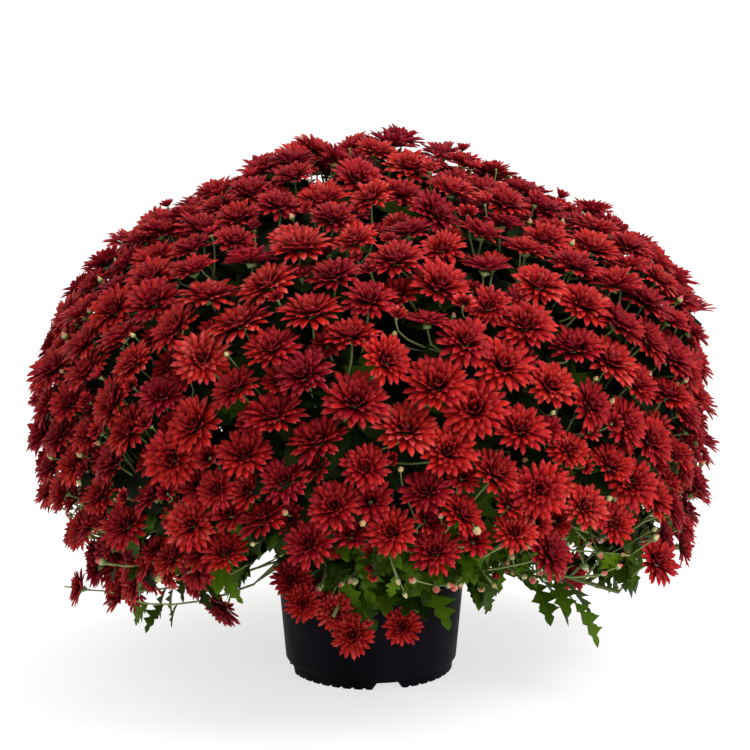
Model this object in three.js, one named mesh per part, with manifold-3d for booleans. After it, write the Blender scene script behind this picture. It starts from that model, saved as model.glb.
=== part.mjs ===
// A pot chrysanthemum in full bloom: a low nursery pot, its soil, and a dome of leafy stems, each
// of which ends in a spray of blooms. Millimetres, +Z up, origin in the middle of the pot's underside.
import * as THREE from "three";
import { mergeVertices } from "three/addons/utils/BufferGeometryUtils.js";
import Module from "manifold-3d";

// ---- driving dimensions ------------------------------------------------------------------------

const POT = {
  height: 140, // a 20 cm mum pan
  rimRadius: 103.5,
  rimDepth: 11, // the band round the mouth
  bodyTopRadius: 100.5,
  stepHeight: 12, // where the wall steps in to the foot ring
  stepRadius: 90,
  footRadius: 86,
  footWidth: 7,
  padRadius: 22, // a flat pad in the middle of the underside, level with the foot ring
  underside: 11, // the floor stands clear of the ground between foot ring and pad
  wall: 2,
  sides: 30,
};
const DRAIN = {
  count: 4, // notches through the foot ring
  width: 33,
  topWidth: 23,
  height: 7,
  firstAngle: 0.205, // the first one looks forwards, a little right of the middle
};
const SOIL = { top: 128, holeDepth: 28, holeFoot: 3, holeClearance: 0.7, holeSides: 5 };
const STEM = {
  count: 28,
  sides: 3,
  footRadius: 3.6,
  tipRadius: 2.5,
  footSpread: 66,
  firstBend: 0.2, // as a share of its length: up to there it is straight
  bandHeight: 9,
};
const SPRAY = {
  depth: 92, // from the bloom surface in to where the stem ends and the spray begins
  length: 58,
  spread: 105, // from the axis to the outermost blooms
  levels: 4,
  fewest: 5, // blooms: a stem that would carry fewer has only leaves
  baseRadius: 2.6,
  topRadius: 1.9,
  lowest: 0.62, // of the height at which the blooms stop
  droop: 0.45, // radians by which the lowest sprays reach out lower than their blooms look
};
const BLOOM = {
  places: 482, // on the whole dome: below the fringe most of them stay empty
  smallest: 18.5, // from the middle to a petal tip
  largest: 25.5,
  petals: 5,
  valleyShare: 0.7, // how far out the petals part
  thickness: 3.2,
  calyxDepths: [9, 13, 6, 18], // from the middle back to the calyx: the first that has room
  calyxRadius: 2.1,
  clearance: 6.4, // between the middle planes of two blooms
  climb: 13, // how far a bloom may rise or sink to pass a neighbour
};
const LEAF = {
  shortest: 40,
  longest: 56,
  width: 0.72, // of its length
  petioles: [14, 24, 34], // the lengths to choose from
  neck: 1.4,
  thickness: 1.8,
  clearance: 1.6,
};
const JOINT_GAP = 0.3; // between solids that meet face to face
const GOLDEN_ANGLE = Math.PI * (3 - Math.sqrt(5));

// The dome of bloom centres, as [radius, height] from the crown down and in under the skirt.
const DOME = [
  [0, 545],
  [90, 531],
  [170, 493],
  [240, 461],
  [293, 419],
  [324, 365],
  [337, 285],
  [335, 201],
  [326, 145],
  [303, 98],
  [262, 78],
  [212, 84],
];
const SHOULDER = { shift: 11, from: 340, to: 510 }; // between these heights the dome leans to +X
const TUCK = { angle: -2.1, spread: 0.8, share: 0.26, from: 215, to: 120 }; // the skirt draws in there
// Blooms stop at this height. It is highest at the front, where the skirt is bare leaves.
const FRINGE = {
  low: 90,
  high: 222,
  bareAngle: -1.25,
  spread: 0.85,
  strays: 0.25, // the share that is let down further
  strayDrop: 40,
};
// A spray that hangs over the rim in front of the pot, with its blooms as [x, y, z].
const HANGING = {
  footAngle: -1.54,
  angle: -2.03,
  rise: -0.72,
  blooms: [
    [-79, -150, 136],
    [-66, -170, 117],
    [-35, -160, 105],
    [-18, -173, 86],
    [31, -165, 92],
  ],
};
const SKIRT_TOP = 210; // below this height the blooms stand further apart
const SKIRT_DENSITY = 0.75;

const COLOURS = { pot: 0x17161b, soil: 0x2c2018, leaf: 0x2f5a1e, bloom: 0xa5121c };

// ---- small helpers -----------------------------------------------------------------------------

const vec = (x, y, z) => new THREE.Vector3(x, y, z);
const along = (p, direction, distance) => p.clone().addScaledVector(direction, distance);
const mix = (a, b, t) => a + (b - a) * t;
const clamp = THREE.MathUtils.clamp;
const upright = vec(0, 0, 1);
const TURN = 2 * Math.PI;

/** The unit vector at a compass angle about +Z and a height angle above the horizontal. */
const towards = (angle, rise) =>
  vec(Math.cos(rise) * Math.cos(angle), Math.cos(rise) * Math.sin(angle), Math.sin(rise));

/** The size of the angle between two directions about an axis. */
const turnBetween = (a, b) => Math.abs(Math.atan2(Math.sin(a - b), Math.cos(a - b)));

/** A seeded generator of numbers from 0 to 1 (mulberry32). */
function seeded(seed) {
  let state = seed >>> 0;
  return () => {
    state = (state + 0x6d2b79f5) >>> 0;
    let t = Math.imul(state ^ (state >>> 15), 1 | state);
    t = (t + Math.imul(t ^ (t >>> 7), 61 | t)) ^ t;
    return ((t ^ (t >>> 14)) >>> 0) / 4294967296;
  };
}

/** Two unit vectors square to n and to each other: u x v = n. */
function acrossOf(n) {
  const helper = Math.abs(n.z) < 0.9 ? vec(0, 0, 1) : vec(1, 0, 0);
  const u = helper.cross(n).normalize();
  return { u, v: n.clone().cross(u) };
}

const centreOf = (points) =>
  points.reduce((sum, p) => sum.add(p), vec(0, 0, 0)).divideScalar(points.length);

/** count points round centre, from the angle start, turning from u to v. */
function circle(centre, { u, v }, radius, count, start = 0) {
  return Array.from({ length: count }, (_, i) => {
    const a = start + (i * TURN) / count;
    return along(along(centre, u, radius * Math.cos(a)), v, radius * Math.sin(a));
  });
}

/** Whether the line from p to q goes through the triangle of three points. */
function pierces(p, q, triangle) {
  const length = p.distanceTo(q);
  const ray = new THREE.Ray(p, q.clone().sub(p).divideScalar(length));
  const hit = ray.intersectTriangle(...triangle, false, vec(0, 0, 0));
  return hit !== null && hit.distanceTo(p) < length;
}

/** A prism along rings of points, as a closed skin of triangles. Its side triangles are slots: what
    grows from one takes its place, stitched to its three corners, so all is one body. */
class Shoot {
  constructor(rings) {
    this.points = [];
    this.faces = [];
    this.slots = [];
    const placed = rings.map((ring) => this.vertices(ring));
    for (let level = 0; level + 1 < rings.length; level++)
      placed[level].forEach((a, side) => {
        const next = (side + 1) % placed[level].length;
        const [b, c, d] = [placed[level][next], placed[level + 1][next], placed[level + 1][side]];
        this.slots.push({ level, side, column: 2 * side, face: this.face(a, c, d) });
        this.slots.push({ level, side, column: 2 * side + 1, face: this.face(a, b, c) });
      });
    this.face(...placed[0].toReversed());
    this.end = { face: this.face(...placed.at(-1)) };
  }

  vertex(p) {
    return this.points.push(p) - 1;
  }

  vertices(points) {
    return points.map((p) => this.vertex(p));
  }

  face(...corners) {
    const box = new THREE.Box3().setFromPoints(this.cornersOf({ corners }));
    this.faces.push({ corners, box });
    return this.faces.at(-1);
  }

  cornersOf(face) {
    return face.corners.map((i) => this.points[i]);
  }

  /** Walls from ring low to ring high, which may differ in count. Both turn the same way. */
  wall(low, high) {
    const apart = (a, b) => this.points[a].distanceTo(this.points[b]);
    const total = (shift) =>
      low.reduce((sum, a, i) => {
        const across = Math.round((i * high.length) / low.length);
        return sum + apart(a, high[(shift + across) % high.length]);
      }, 0);
    const [nearest] = high.map((_, shift) => shift).sort((x, y) => total(x) - total(y));
    const lower = (i) => low[i % low.length];
    const upper = (j) => high[(j + nearest) % high.length];
    let i = 0;
    let j = 0;
    while (i < low.length || j < high.length) {
      const ahead = i / low.length - j / high.length;
      const shorter = apart(lower(i + 1), upper(j)) < apart(lower(i), upper(j + 1));
      if (ahead < -1e-9 || (ahead < 1e-9 && shorter)) {
        this.face(lower(i), lower(i + 1), upper(j));
        i++;
      } else {
        this.face(lower(i), upper(j + 1), upper(j));
        j++;
      }
    }
  }

  /** Whether two faces cut each other. Faces that only share corners do not. */
  cross(one, other) {
    if (!one.box.intersectsBox(other.box)) return false;
    return [
      [one, other],
      [other, one],
    ].some(([edges, target]) =>
      edges.corners.some((start, i) => {
        const end = edges.corners[(i + 1) % 3];
        if (target.corners.includes(start) || target.corners.includes(end)) return false;
        return pierces(this.points[start], this.points[end], this.cornersOf(target));
      }),
    );
  }

  middle(slot) {
    return centreOf(this.cornersOf(slot.face));
  }

  /** Grows something from the first of these slots from which it cuts nothing, if there is one. */
  grow(slots, build) {
    for (const slot of slots) {
      const { faces } = this;
      const pointCount = this.points.length;
      this.faces = faces.filter((face) => face !== slot.face);
      const first = this.faces.length;
      build(slot.face.corners, this.middle(slot));
      const clear = this.faces
        .slice(first)
        .every((face, i) => !this.faces.slice(0, first + i).some((other) => this.cross(face, other)));
      if (clear) {
        slot.taken = true;
        return slot;
      }
      this.faces = faces;
      this.points.length = pointCount;
    }
    return null;
  }

  geometry() {
    const flat = this.points.flatMap((p) => [p.x, p.y, p.z]);
    const made = new THREE.BufferGeometry();
    made.setAttribute("position", new THREE.Float32BufferAttribute(flat, 3));
    made.setIndex(this.faces.flatMap((face) => face.corners));
    made.computeVertexNormals();
    return made;
  }
}

// ---- the dome and where the blooms stand on it --------------------------------------------------

const domeCurve = new THREE.SplineCurve(DOME.map(([r, z]) => new THREE.Vector2(r, z)));
const DOME_STEPS = 400;

/** Running share of the blooms along the dome's outline, from the crown down. */
const bloomShare = (() => {
  const samples = domeCurve.getSpacedPoints(DOME_STEPS);
  const share = [0];
  for (let i = 1; i <= DOME_STEPS; i++) {
    const [a, b] = [samples[i - 1], samples[i]];
    const density = b.y < SKIRT_TOP ? SKIRT_DENSITY : 1;
    share.push(share[i - 1] + density * ((a.x + b.x) / 2) * a.distanceTo(b));
  }
  return share.map((s) => s / share[DOME_STEPS]);
})();

/** A point of the dome at a share of the blooms and an angle about +Z, and the rise of blooms there. */
function onDome(share, angle) {
  const above = Math.max(1, bloomShare.findIndex((s) => s >= share));
  const part = (share - bloomShare[above - 1]) / (bloomShare[above] - bloomShare[above - 1]);
  const t = (above - 1 + part) / DOME_STEPS;
  const p = domeCurve.getPointAt(t);
  const tangent = domeCurve.getTangentAt(t);
  const swell = 1 + 0.01 * Math.sin(3 * angle);
  const near = Math.cos(Math.min(turnBetween(angle, TUCK.angle) / TUCK.spread, Math.PI / 2));
  const tuck = TUCK.share * near * THREE.MathUtils.smoothstep(TUCK.from - p.y, 0, TUCK.from - TUCK.to);
  const radius = Math.max(p.x, 0) * swell * (1 - tuck);
  const leaning = clamp((p.y - SHOULDER.from) / (SHOULDER.to - SHOULDER.from), 0, 1);
  const shift = SHOULDER.shift * Math.sin(Math.PI * leaning);
  const surfaceRise = Math.atan2(tangent.x, -tangent.y);
  return {
    point: vec(radius * Math.cos(angle) + shift, radius * Math.sin(angle), p.y),
    lift: 0.56 + 0.64 * surfaceRise, // blooms turn up to the light from the surface's own direction
  };
}

/** The height at which the blooms stop at an angle about +Z. */
function fringeHeight(angle) {
  const off = FRINGE.spread * turnBetween(angle, FRINGE.bareAngle);
  return mix(FRINGE.low, FRINGE.high, Math.cos(Math.min(off, Math.PI / 2)) ** 2);
}

function placeBlooms() {
  const random = seeded(231);
  const blooms = [];
  const add = (home, normal, size, hangs = false) =>
    blooms.push({
      hangs,
      home,
      centre: home.clone(),
      normal,
      radius: mix(BLOOM.smallest, BLOOM.largest, size),
      spin: random() * TURN,
    });
  for (let i = 0; i < BLOOM.places; i++) {
    const angle = i * GOLDEN_ANGLE + (random() - 0.5) * 0.05;
    const { point, lift } = onDome((i + 0.5) / BLOOM.places, angle);
    const normal = towards(angle + (random() - 0.5) * 0.4, lift + (random() - 0.5) * 0.34);
    const size = random() ** 0.55;
    const stray = random() < FRINGE.strays;
    if (point.z < fringeHeight(angle) - (stray ? FRINGE.strayDrop : 0)) continue;
    add(along(point, normal, (random() - 0.5) * 8), normal, size);
  }
  for (const place of HANGING.blooms)
    add(vec(...place), towards(-1.6, 0.25), 0.1 + 0.3 * random(), true);
  return blooms;
}

/** The middle of a bloom, and points half way out and round its rim. */
function discPoints({ centre, normal, radius }) {
  const across = acrossOf(normal);
  return [centre, ...circle(centre, across, radius * 0.55, 12), ...circle(centre, across, radius, 12)];
}

/** Distance from a point to a bloom's flat disc. */
function toDisc(p, { centre, normal, radius }) {
  const d = p.clone().sub(centre);
  const height = d.dot(normal);
  const out = Math.sqrt(Math.max(0, d.lengthSq() - height * height));
  return Math.hypot(height, Math.max(0, out - radius));
}

const discGap = (a, b) =>
  Math.min(...discPoints(a).map((p) => toDisc(p, b)), ...discPoints(b).map((p) => toDisc(p, a)));

/** Blooms that would touch rise and sink past each other, and what still touches opens less. */
function makeRoom(blooms) {
  const pairs = blooms.flatMap((a, i) =>
    blooms
      .slice(i + 1)
      .filter((b) => a.home.distanceTo(b.home) < a.radius + b.radius + 2 * BLOOM.climb)
      .map((b) => [a, b]),
  );
  const rounds = 26;
  for (let round = 0; round < rounds; round++)
    for (const [a, b] of pairs) {
      const gap = discGap(a, b);
      if (gap >= BLOOM.clearance) continue;
      if (round > rounds / 2) {
        a.radius *= 0.965;
        b.radius *= 0.965;
        continue;
      }
      const over = a.centre.clone().sub(b.centre).dot(a.normal.clone().add(b.normal)) >= 0;
      const push = (over ? 0.6 : -0.6) * (BLOOM.clearance - gap);
      for (const [bloom, way] of [
        [a, push],
        [b, -push],
      ]) {
        const climbed = bloom.centre.clone().sub(bloom.home).dot(bloom.normal) + way;
        const kept = clamp(climbed, -BLOOM.climb, BLOOM.climb);
        bloom.centre = along(bloom.home, bloom.normal, kept);
      }
    }
}

// ---- sprays: a three-sided axis with stalks that fan out to the blooms ---------------------------

/** The bloom head on a stalk that starts from the open triangle base, whose middle is root. */
function growBloom(skin, base, root, bloom, depth, random) {
  const { centre, normal, radius, spin } = bloom;
  const { petals } = BLOOM;
  const across = acrossOf(normal);
  const neck = along(centre, normal, -depth);
  const reach = neck.clone().sub(root).normalize().add(normal).normalize();
  const calyx = skin.vertices(circle(neck, acrossOf(reach), BLOOM.calyxRadius, 3, spin));
  skin.wall(base, calyx);
  const low = along(centre, normal, -BLOOM.thickness / 2);
  const valleys = skin.vertices(circle(low, across, radius * BLOOM.valleyShare, petals, spin));
  skin.wall(calyx, valleys);
  const heart = skin.vertex(along(centre, normal, BLOOM.thickness * 0.75));
  valleys.forEach((valley, i) => {
    const next = valleys[(i + 1) % petals];
    const inner = i % 2; // every other petal belongs to the layer above
    const raised = along(centre, normal, inner * 3 + random() * 1.5);
    const size = radius * (inner ? 0.92 : mix(0.95, 1, random()));
    const [tipPoint] = circle(raised, across, size, 1, spin + ((i + 0.5) * TURN) / petals);
    const tip = skin.vertex(tipPoint);
    skin.face(valley, next, tip);
    skin.face(valley, tip, heart);
    skin.face(tip, next, heart);
  });
}

/** An axis that ends short of its patch of blooms, whose middle it points at. */
const axisTo = (angle, middle, out, hangs = false) => ({
  angle,
  middle,
  out,
  hangs,
  from: along(middle, out, -SPRAY.depth),
  to: along(middle, out, SPRAY.length - SPRAY.depth),
});

/** How far a bloom stands from where an axis points. What hangs over the rim keeps to itself. */
const apart = (axis, bloom) =>
  axis.middle.distanceTo(bloom.centre) + (axis.hangs === bloom.hangs ? 0 : 1000);

/** Where the axes of the sprays run: in through the dome, the way the blooms there look. */
function sprayAxes() {
  const axes = Array.from({ length: STEM.count - 1 }, (_, k) => {
    const angle = k * GOLDEN_ANGLE + 0.9;
    const { point, lift } = onDome((k + 0.5) / (STEM.count - 1), angle);
    point.z = Math.max(point.z, SPRAY.lowest * fringeHeight(angle));
    const lowness = THREE.MathUtils.smoothstep(k, STEM.count * 0.4, STEM.count);
    return axisTo(angle, point, towards(angle, lift - SPRAY.droop * lowness));
  });
  const middle = centreOf(HANGING.blooms.map((place) => vec(...place)));
  return [...axes, axisTo(HANGING.footAngle, middle, towards(HANGING.angle, HANGING.rise), true)];
}

/** The angle about a three-sided shoot to the middle of a column of its slots. */
const columnAngle = (column) => ((column - (column % 2)) / 2 + (column % 2 ? 0.67 : 0.33)) * (TURN / 3);

/** A spray's axis, to which blooms are added one by one. */
class Spray {
  constructor(axis) {
    this.axis = axis;
    this.across = acrossOf(axis.out);
    this.blooms = [];
    const rings = Array.from({ length: SPRAY.levels + 1 }, (_, level) => {
      const t = level / SPRAY.levels;
      const radius = mix(SPRAY.baseRadius, SPRAY.topRadius, t);
      return circle(axis.from.clone().lerp(axis.to, t), this.across, radius, 3);
    });
    this.shoot = new Shoot(rings);
  }

  /** How far a bloom stands from the axis, and in which direction about it. */
  placeOf(bloom) {
    const d = bloom.centre.clone().sub(this.axis.from);
    const [x, y] = [d.dot(this.across.u), d.dot(this.across.v)];
    return { reach: Math.hypot(x, y), turn: Math.atan2(y, x) };
  }

  /** Grows a bloom where it cuts nothing: the wider it stands, the lower its stalk starts. */
  add(bloom) {
    const { slots, end } = this.shoot;
    const { reach, turn } = this.placeOf(bloom);
    const wanted = Math.max(0, 1 - reach / SPRAY.spread) * (SPRAY.levels - 1);
    const turnOff = (column) => turnBetween(turn, columnAngle(column));
    const fit = ({ level, column }) => Math.abs(level - wanted) + 2 * turnOff(column);
    const free = slots.filter((slot) => !slot.taken).sort((a, b) => fit(a) - fit(b));
    const choices = end.taken ? free : [end, ...free];
    const random = seeded(Math.round(bloom.spin * 1000));
    for (const depth of BLOOM.calyxDepths) {
      const slot = this.shoot.grow(choices, (base, root) =>
        growBloom(this.shoot, base, root, bloom, depth, random),
      );
      if (!slot) continue;
      const neck = along(bloom.centre, bloom.normal, -depth);
      this.blooms.push({ bloom, stalk: [this.shoot.middle(slot), neck] });
      return true;
    }
    return false;
  }
}

/** Hands every bloom to the spray it stands nearest to, or to the next nearest that has room for it. */
function shareBlooms(sprays, blooms) {
  const byNearness = (bloom) =>
    sprays.toSorted((a, b) => apart(a.axis, bloom) - apart(b.axis, bloom));
  const left = sprays.flatMap((spray) => {
    const mine = blooms.filter((bloom) => byNearness(bloom)[0] === spray);
    mine.sort((a, b) => spray.placeOf(b).reach - spray.placeOf(a).reach);
    mine.unshift(mine.pop()); // the one nearest the axis grows from its end
    return mine.filter((bloom) => !spray.add(bloom));
  });
  for (const bloom of left)
    if (!byNearness(bloom).some((spray) => spray.add(bloom)))
      throw new Error(`no spray has room for the bloom at ${bloom.centre.toArray()}`);
}

// ---- stems and leaves ----------------------------------------------------------------------------

/** From a plain hole in the soil, up and out, over the rim if need be, to where the spray begins. */
function stemCurve(k, axis, beyond) {
  const spread = STEM.footSpread * Math.sqrt((k + 0.5) / STEM.count);
  const foot = along(vec(0, 0, SOIL.top - SOIL.holeDepth), towards(axis.angle, 0), spread);
  const tip = along(axis.from, axis.out, beyond);
  const span = foot.distanceTo(tip);
  const arch = 26 + 0.33 * span + 0.75 * Math.max(0, 200 - tip.z);
  return new THREE.CubicBezierCurve3(
    foot,
    along(foot, upright, arch),
    along(tip, axis.out, -0.36 * span),
    tip,
  );
}

/** Rings of a stem's skin: long internodes, and short bands for the leaves to grow from. */
function stemRings(curve, axis, bands) {
  const half = STEM.bandHeight / 2 / curve.getLength();
  const places = bands.flatMap(([band]) => [band - half, band + half]);
  return [0, STEM.firstBend, ...places, 1].map((t) => {
    const tangent = curve.getTangentAt(t);
    const v = tangent.clone().cross(vec(-Math.sin(axis.angle), Math.cos(axis.angle), 0)).normalize();
    const u = v.clone().cross(tangent);
    return circle(curve.getPointAt(t), { u, v }, mix(STEM.footRadius, STEM.tipRadius, t), STEM.sides);
  });
}

// A leaf's right edge from neck to tip, as [share of length, share of half width]: two lobes
// with a notch after each. The left edge mirrors it.
const LEAF_EDGE = [
  [0.2, 0.66],
  [0.4, 0.5],
  [0.56, 1],
  [0.7, 0.42],
];

/** The points of a leaf blade in space. It arches along its length and folds up at its midrib. */
function leafPoints({ neck, forward, up, length }) {
  const left = up.clone().cross(forward);
  const at = (x, y, thick = 0) => {
    const lift = -0.2 * length * x * x + 0.16 * Math.abs(y) + thick;
    return along(along(along(neck, forward, x * length), left, y), up, lift);
  };
  const half = (length * LEAF.width) / 2;
  const right = LEAF_EDGE.map(([x, y]) => at(x, -y * half));
  const mirrored = LEAF_EDGE.map(([x, y]) => at(x, y * half)).reverse();
  return {
    left,
    edge: [...right, at(1, 0), ...mirrored],
    top: at(0.45, 0, LEAF.thickness / 2),
    under: at(0.45, 0, -LEAF.thickness / 2),
  };
}

/** The leaf's middle surface as triangles, for measuring how near other pieces come. */
function leafTriangles(leaf) {
  const { edge, top } = leafPoints(leaf);
  const loop = [leaf.neck, ...edge, leaf.neck];
  return loop.slice(1).map((p, i) => new THREE.Triangle(loop[i], p, top));
}

/** A leaf on a petiole that starts from the open triangle base. */
function growLeaf(skin, base, leaf) {
  const { left, edge, top, under } = leafPoints(leaf);
  const [l, r, keel, t, b] = skin.vertices([
    along(leaf.neck, left, LEAF.neck),
    along(leaf.neck, left, -LEAF.neck),
    along(leaf.neck, leaf.up, -LEAF.neck),
    top,
    under,
  ]);
  skin.wall(base, [l, r, keel]);
  const rim = [r, ...skin.vertices(edge), l];
  for (let i = 0; i + 1 < rim.length; i++) {
    skin.face(rim[i], rim[i + 1], t);
    skin.face(rim[i + 1], rim[i], b);
  }
  skin.face(l, r, t);
  skin.face(r, keel, b);
  skin.face(keel, l, b);
}

/** What already takes up room, as balls, sorted into cells of space. */
class Crowd {
  constructor() {
    this.cell = 30;
    this.cells = new Map();
  }

  key(x, y, z) {
    return (x + 64) * 16384 + (y + 64) * 128 + z + 64;
  }

  index(value) {
    return Math.floor(value / this.cell);
  }

  add(p, radius, owner) {
    const key = this.key(this.index(p.x), this.index(p.y), this.index(p.z));
    if (!this.cells.has(key)) this.cells.set(key, []);
    this.cells.get(key).push({ p, radius, owner });
  }

  addLine(a, b, radius, owner) {
    const count = Math.max(1, Math.ceil(a.distanceTo(b) / 3));
    for (let i = 0; i <= count; i++) this.add(a.clone().lerp(b, i / count), radius, owner);
  }

  near(p, reach) {
    const found = [];
    const from = [p.x, p.y, p.z].map((value) => this.index(value - reach));
    const to = [p.x, p.y, p.z].map((value) => this.index(value + reach));
    for (let x = from[0]; x <= to[0]; x++)
      for (let y = from[1]; y <= to[1]; y++)
        for (let z = from[2]; z <= to[2]; z++)
          for (const ball of this.cells.get(this.key(x, y, z)) ?? [])
            if (ball.p.distanceTo(p) < reach + ball.radius) found.push(ball);
    return found;
  }
}

/** The least room between a leaf on its petiole and everything in the crowd. */
function roomFor(leaf, root, crowd, owner) {
  const middle = along(leaf.neck, leaf.forward, leaf.length * 0.45);
  const balls = crowd.near(middle, leaf.length * 0.6 + root.distanceTo(leaf.neck));
  const triangles = leafTriangles(leaf);
  const petiole = new THREE.Line3(along(root, leaf.forward, 5), leaf.neck);
  const nearest = vec(0, 0, 0);
  let room = 8;
  for (const { p, radius, owner: whose } of balls) {
    if (whose !== owner) {
      petiole.closestPointToPoint(p, true, nearest);
      room = Math.min(room, nearest.distanceTo(p) - radius - LEAF.neck);
    }
    for (const triangle of triangles) {
      triangle.closestPointToPoint(p, nearest);
      room = Math.min(room, nearest.distanceTo(p) - radius);
    }
    if (room < LEAF.clearance) break;
  }
  return room;
}

// Directions and lengths to try for a leaf, as [tilt off the stem, swing about it, petiole].
const LEAF_TRIES = [0.5, 0.8, 1.1, 1.4].flatMap((tilt) =>
  [-0.6, -0.2, 0.2, 0.6].flatMap((swing) => LEAF.petioles.map((petiole) => [tilt, swing, petiole])),
);

/** Leaves up a stem. Each takes the slot and the tilt with the most room, or stays away. */
function growLeaves(shoot, curve, axis, bands, owner, crowd, random) {
  for (const [n, [band, count]] of bands.entries())
    for (let i = 0; i < count; i++) {
      const length = mix(LEAF.shortest, LEAF.longest, random());
      const tangent = curve.getTangentAt(band);
      const core = curve.getPointAt(band);
      let best = null;
      for (let column = 0; column < 2 * STEM.sides; column++) {
        const slot = shoot.slots[(2 * n + 2) * 2 * STEM.sides + column];
        if (slot.taken) continue;
        const root = shoot.middle(slot);
        const away = root.clone().sub(core);
        away.addScaledVector(tangent, -away.dot(tangent)).normalize();
        for (const [tilt, swing, petiole] of LEAF_TRIES) {
          const spread = away.clone().applyAxisAngle(tangent, swing);
          const forward = spread.multiplyScalar(Math.sin(tilt));
          forward.addScaledVector(tangent, Math.cos(tilt));
          const left = upright.clone().cross(forward);
          if (left.length() < 0.1) continue;
          const leaf = {
            neck: along(root, forward, petiole),
            forward,
            up: forward.clone().cross(left.normalize()),
            length,
          };
          const room = roomFor(leaf, root, crowd, owner);
          if (room < LEAF.clearance) continue;
          const score = room + 8 * forward.dot(towards(axis.angle, -0.3));
          if (!best || score > best.score) best = { slot, leaf, root, score };
        }
      }
      if (!best || !shoot.grow([best.slot], (base) => growLeaf(shoot, base, best.leaf))) continue;
      crowd.addLine(best.root, best.leaf.neck, LEAF.neck, owner);
      for (const { a, b, c } of leafTriangles(best.leaf))
        for (const [x, y] of [
          [0.5, 0.5],
          [0.25, 0.25],
          [0.5, 0.1],
          [0.1, 0.5],
          [0.9, 0.05],
        ]) {
          const p = a.clone().multiplyScalar(x).addScaledVector(b, y).addScaledVector(c, 1 - x - y);
          crowd.add(p, 3, "leaf");
        }
    }
}

// ---- pot and soil --------------------------------------------------------------------------------

const wasm = await Module();
wasm.setup();

function solidOf(geometry) {
  const bare = geometry.clone();
  for (const name of ["normal", "uv"]) bare.deleteAttribute(name);
  const merged = mergeVertices(bare, 1e-3);
  return new wasm.Manifold(
    new wasm.Mesh({
      numProp: 3,
      vertProperties: merged.attributes.position.array,
      triVerts: new Uint32Array(merged.index.array),
    }),
  );
}

function geometryOf(solid) {
  const mesh = solid.getMesh();
  const made = new THREE.BufferGeometry();
  made.setAttribute("position", new THREE.BufferAttribute(mesh.vertProperties, 3));
  made.setIndex(new THREE.BufferAttribute(mesh.triVerts, 1));
  made.computeVertexNormals();
  return made;
}

/** A closed solid of revolution about +Z from [radius, height] points. */
function turned(points) {
  const profile = points.map(([r, z]) => new THREE.Vector2(r, z));
  const made = new THREE.LatheGeometry(profile, POT.sides);
  made.rotateX(Math.PI / 2); // a lathe turns about +Y
  return made;
}

/** The wall's outer radius at a height above the step. */
function wallRadius(z) {
  const bodyTop = POT.height - POT.rimDepth;
  return mix(POT.stepRadius, POT.bodyTopRadius, (z - POT.stepHeight) / (bodyTop - POT.stepHeight));
}

function makePot() {
  const { height, rimRadius, rimDepth, footRadius, footWidth, padRadius, underside, wall } = POT;
  const floor = underside + wall;
  const shell = turned([
    [0, 0],
    [padRadius, 0],
    [padRadius + 4, underside],
    [footRadius - footWidth - 1, underside],
    [footRadius - footWidth, 0],
    [footRadius, 0],
    [footRadius + 0.6, POT.stepHeight - 1],
    [POT.stepRadius, POT.stepHeight],
    [POT.bodyTopRadius, height - rimDepth],
    [rimRadius, height - rimDepth + 1.5],
    [rimRadius, height],
    [wallRadius(height) - wall, height],
    [wallRadius(floor) - wall, floor],
    [0, floor],
  ]);
  const notch = new THREE.Shape();
  notch.moveTo(-DRAIN.width / 2 - 1, -1);
  notch.lineTo(DRAIN.width / 2 + 1, -1);
  notch.lineTo(DRAIN.topWidth / 2, DRAIN.height);
  notch.lineTo(-DRAIN.topWidth / 2, DRAIN.height);
  notch.closePath();
  const cut = new THREE.ExtrudeGeometry(notch, { depth: 3 * footWidth, bevelEnabled: false });
  cut.rotateX(Math.PI / 2); // the outline stands up, and the notch runs outwards to -Y
  cut.translate(0, -footRadius + 1.5 * footWidth, 0);
  cut.rotateZ(DRAIN.firstAngle);
  let pot = solidOf(shell);
  for (let i = 0; i < DRAIN.count; i++) {
    pot = pot.subtract(solidOf(cut));
    cut.rotateZ(TURN / DRAIN.count);
  }
  return geometryOf(pot);
}

/** The soil, with a plain hole for each stem: feet holds the first two points of each. */
function makeSoil(feet) {
  const floor = POT.underside + POT.wall + JOINT_GAP;
  const inside = (z) => wallRadius(z) - POT.wall - 3 * JOINT_GAP;
  let soil = solidOf(
    turned([
      [0, floor],
      [inside(floor), floor],
      [inside(SOIL.top), SOIL.top],
      [0, SOIL.top],
    ]),
  );
  const radius = (STEM.footRadius + SOIL.holeClearance) / Math.cos(Math.PI / SOIL.holeSides);
  const length = SOIL.holeDepth + 15;
  for (const [foot, next] of feet) {
    const hole = new THREE.CylinderGeometry(radius, radius, length, SOIL.holeSides);
    hole.rotateX(Math.PI / 2);
    hole.translate(0, 0, length / 2 - SOIL.holeFoot);
    const direction = next.clone().sub(foot).normalize();
    hole.applyQuaternion(new THREE.Quaternion().setFromUnitVectors(upright, direction));
    hole.translate(foot.x, foot.y, foot.z);
    soil = soil.subtract(solidOf(hole));
  }
  return geometryOf(soil);
}

// ---- the whole plant -----------------------------------------------------------------------------

const material = (name, roughness) =>
  new THREE.MeshStandardMaterial({ color: COLOURS[name], roughness, metalness: 0 });

function named(name, geometry, look) {
  const mesh = new THREE.Mesh(geometry, look);
  mesh.name = name;
  return mesh;
}

// Where leaves grow on a stem, as [share of its length, leaves there].
const FEW_LEAVES = [[0.75, 1]];
const MORE_LEAVES = [
  [0.45, 1],
  [0.85, 2],
];
const MOST_LEAVES = [
  [0.35, 2],
  [0.56, 4],
  [0.76, 3],
  [0.94, 4],
];

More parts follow.
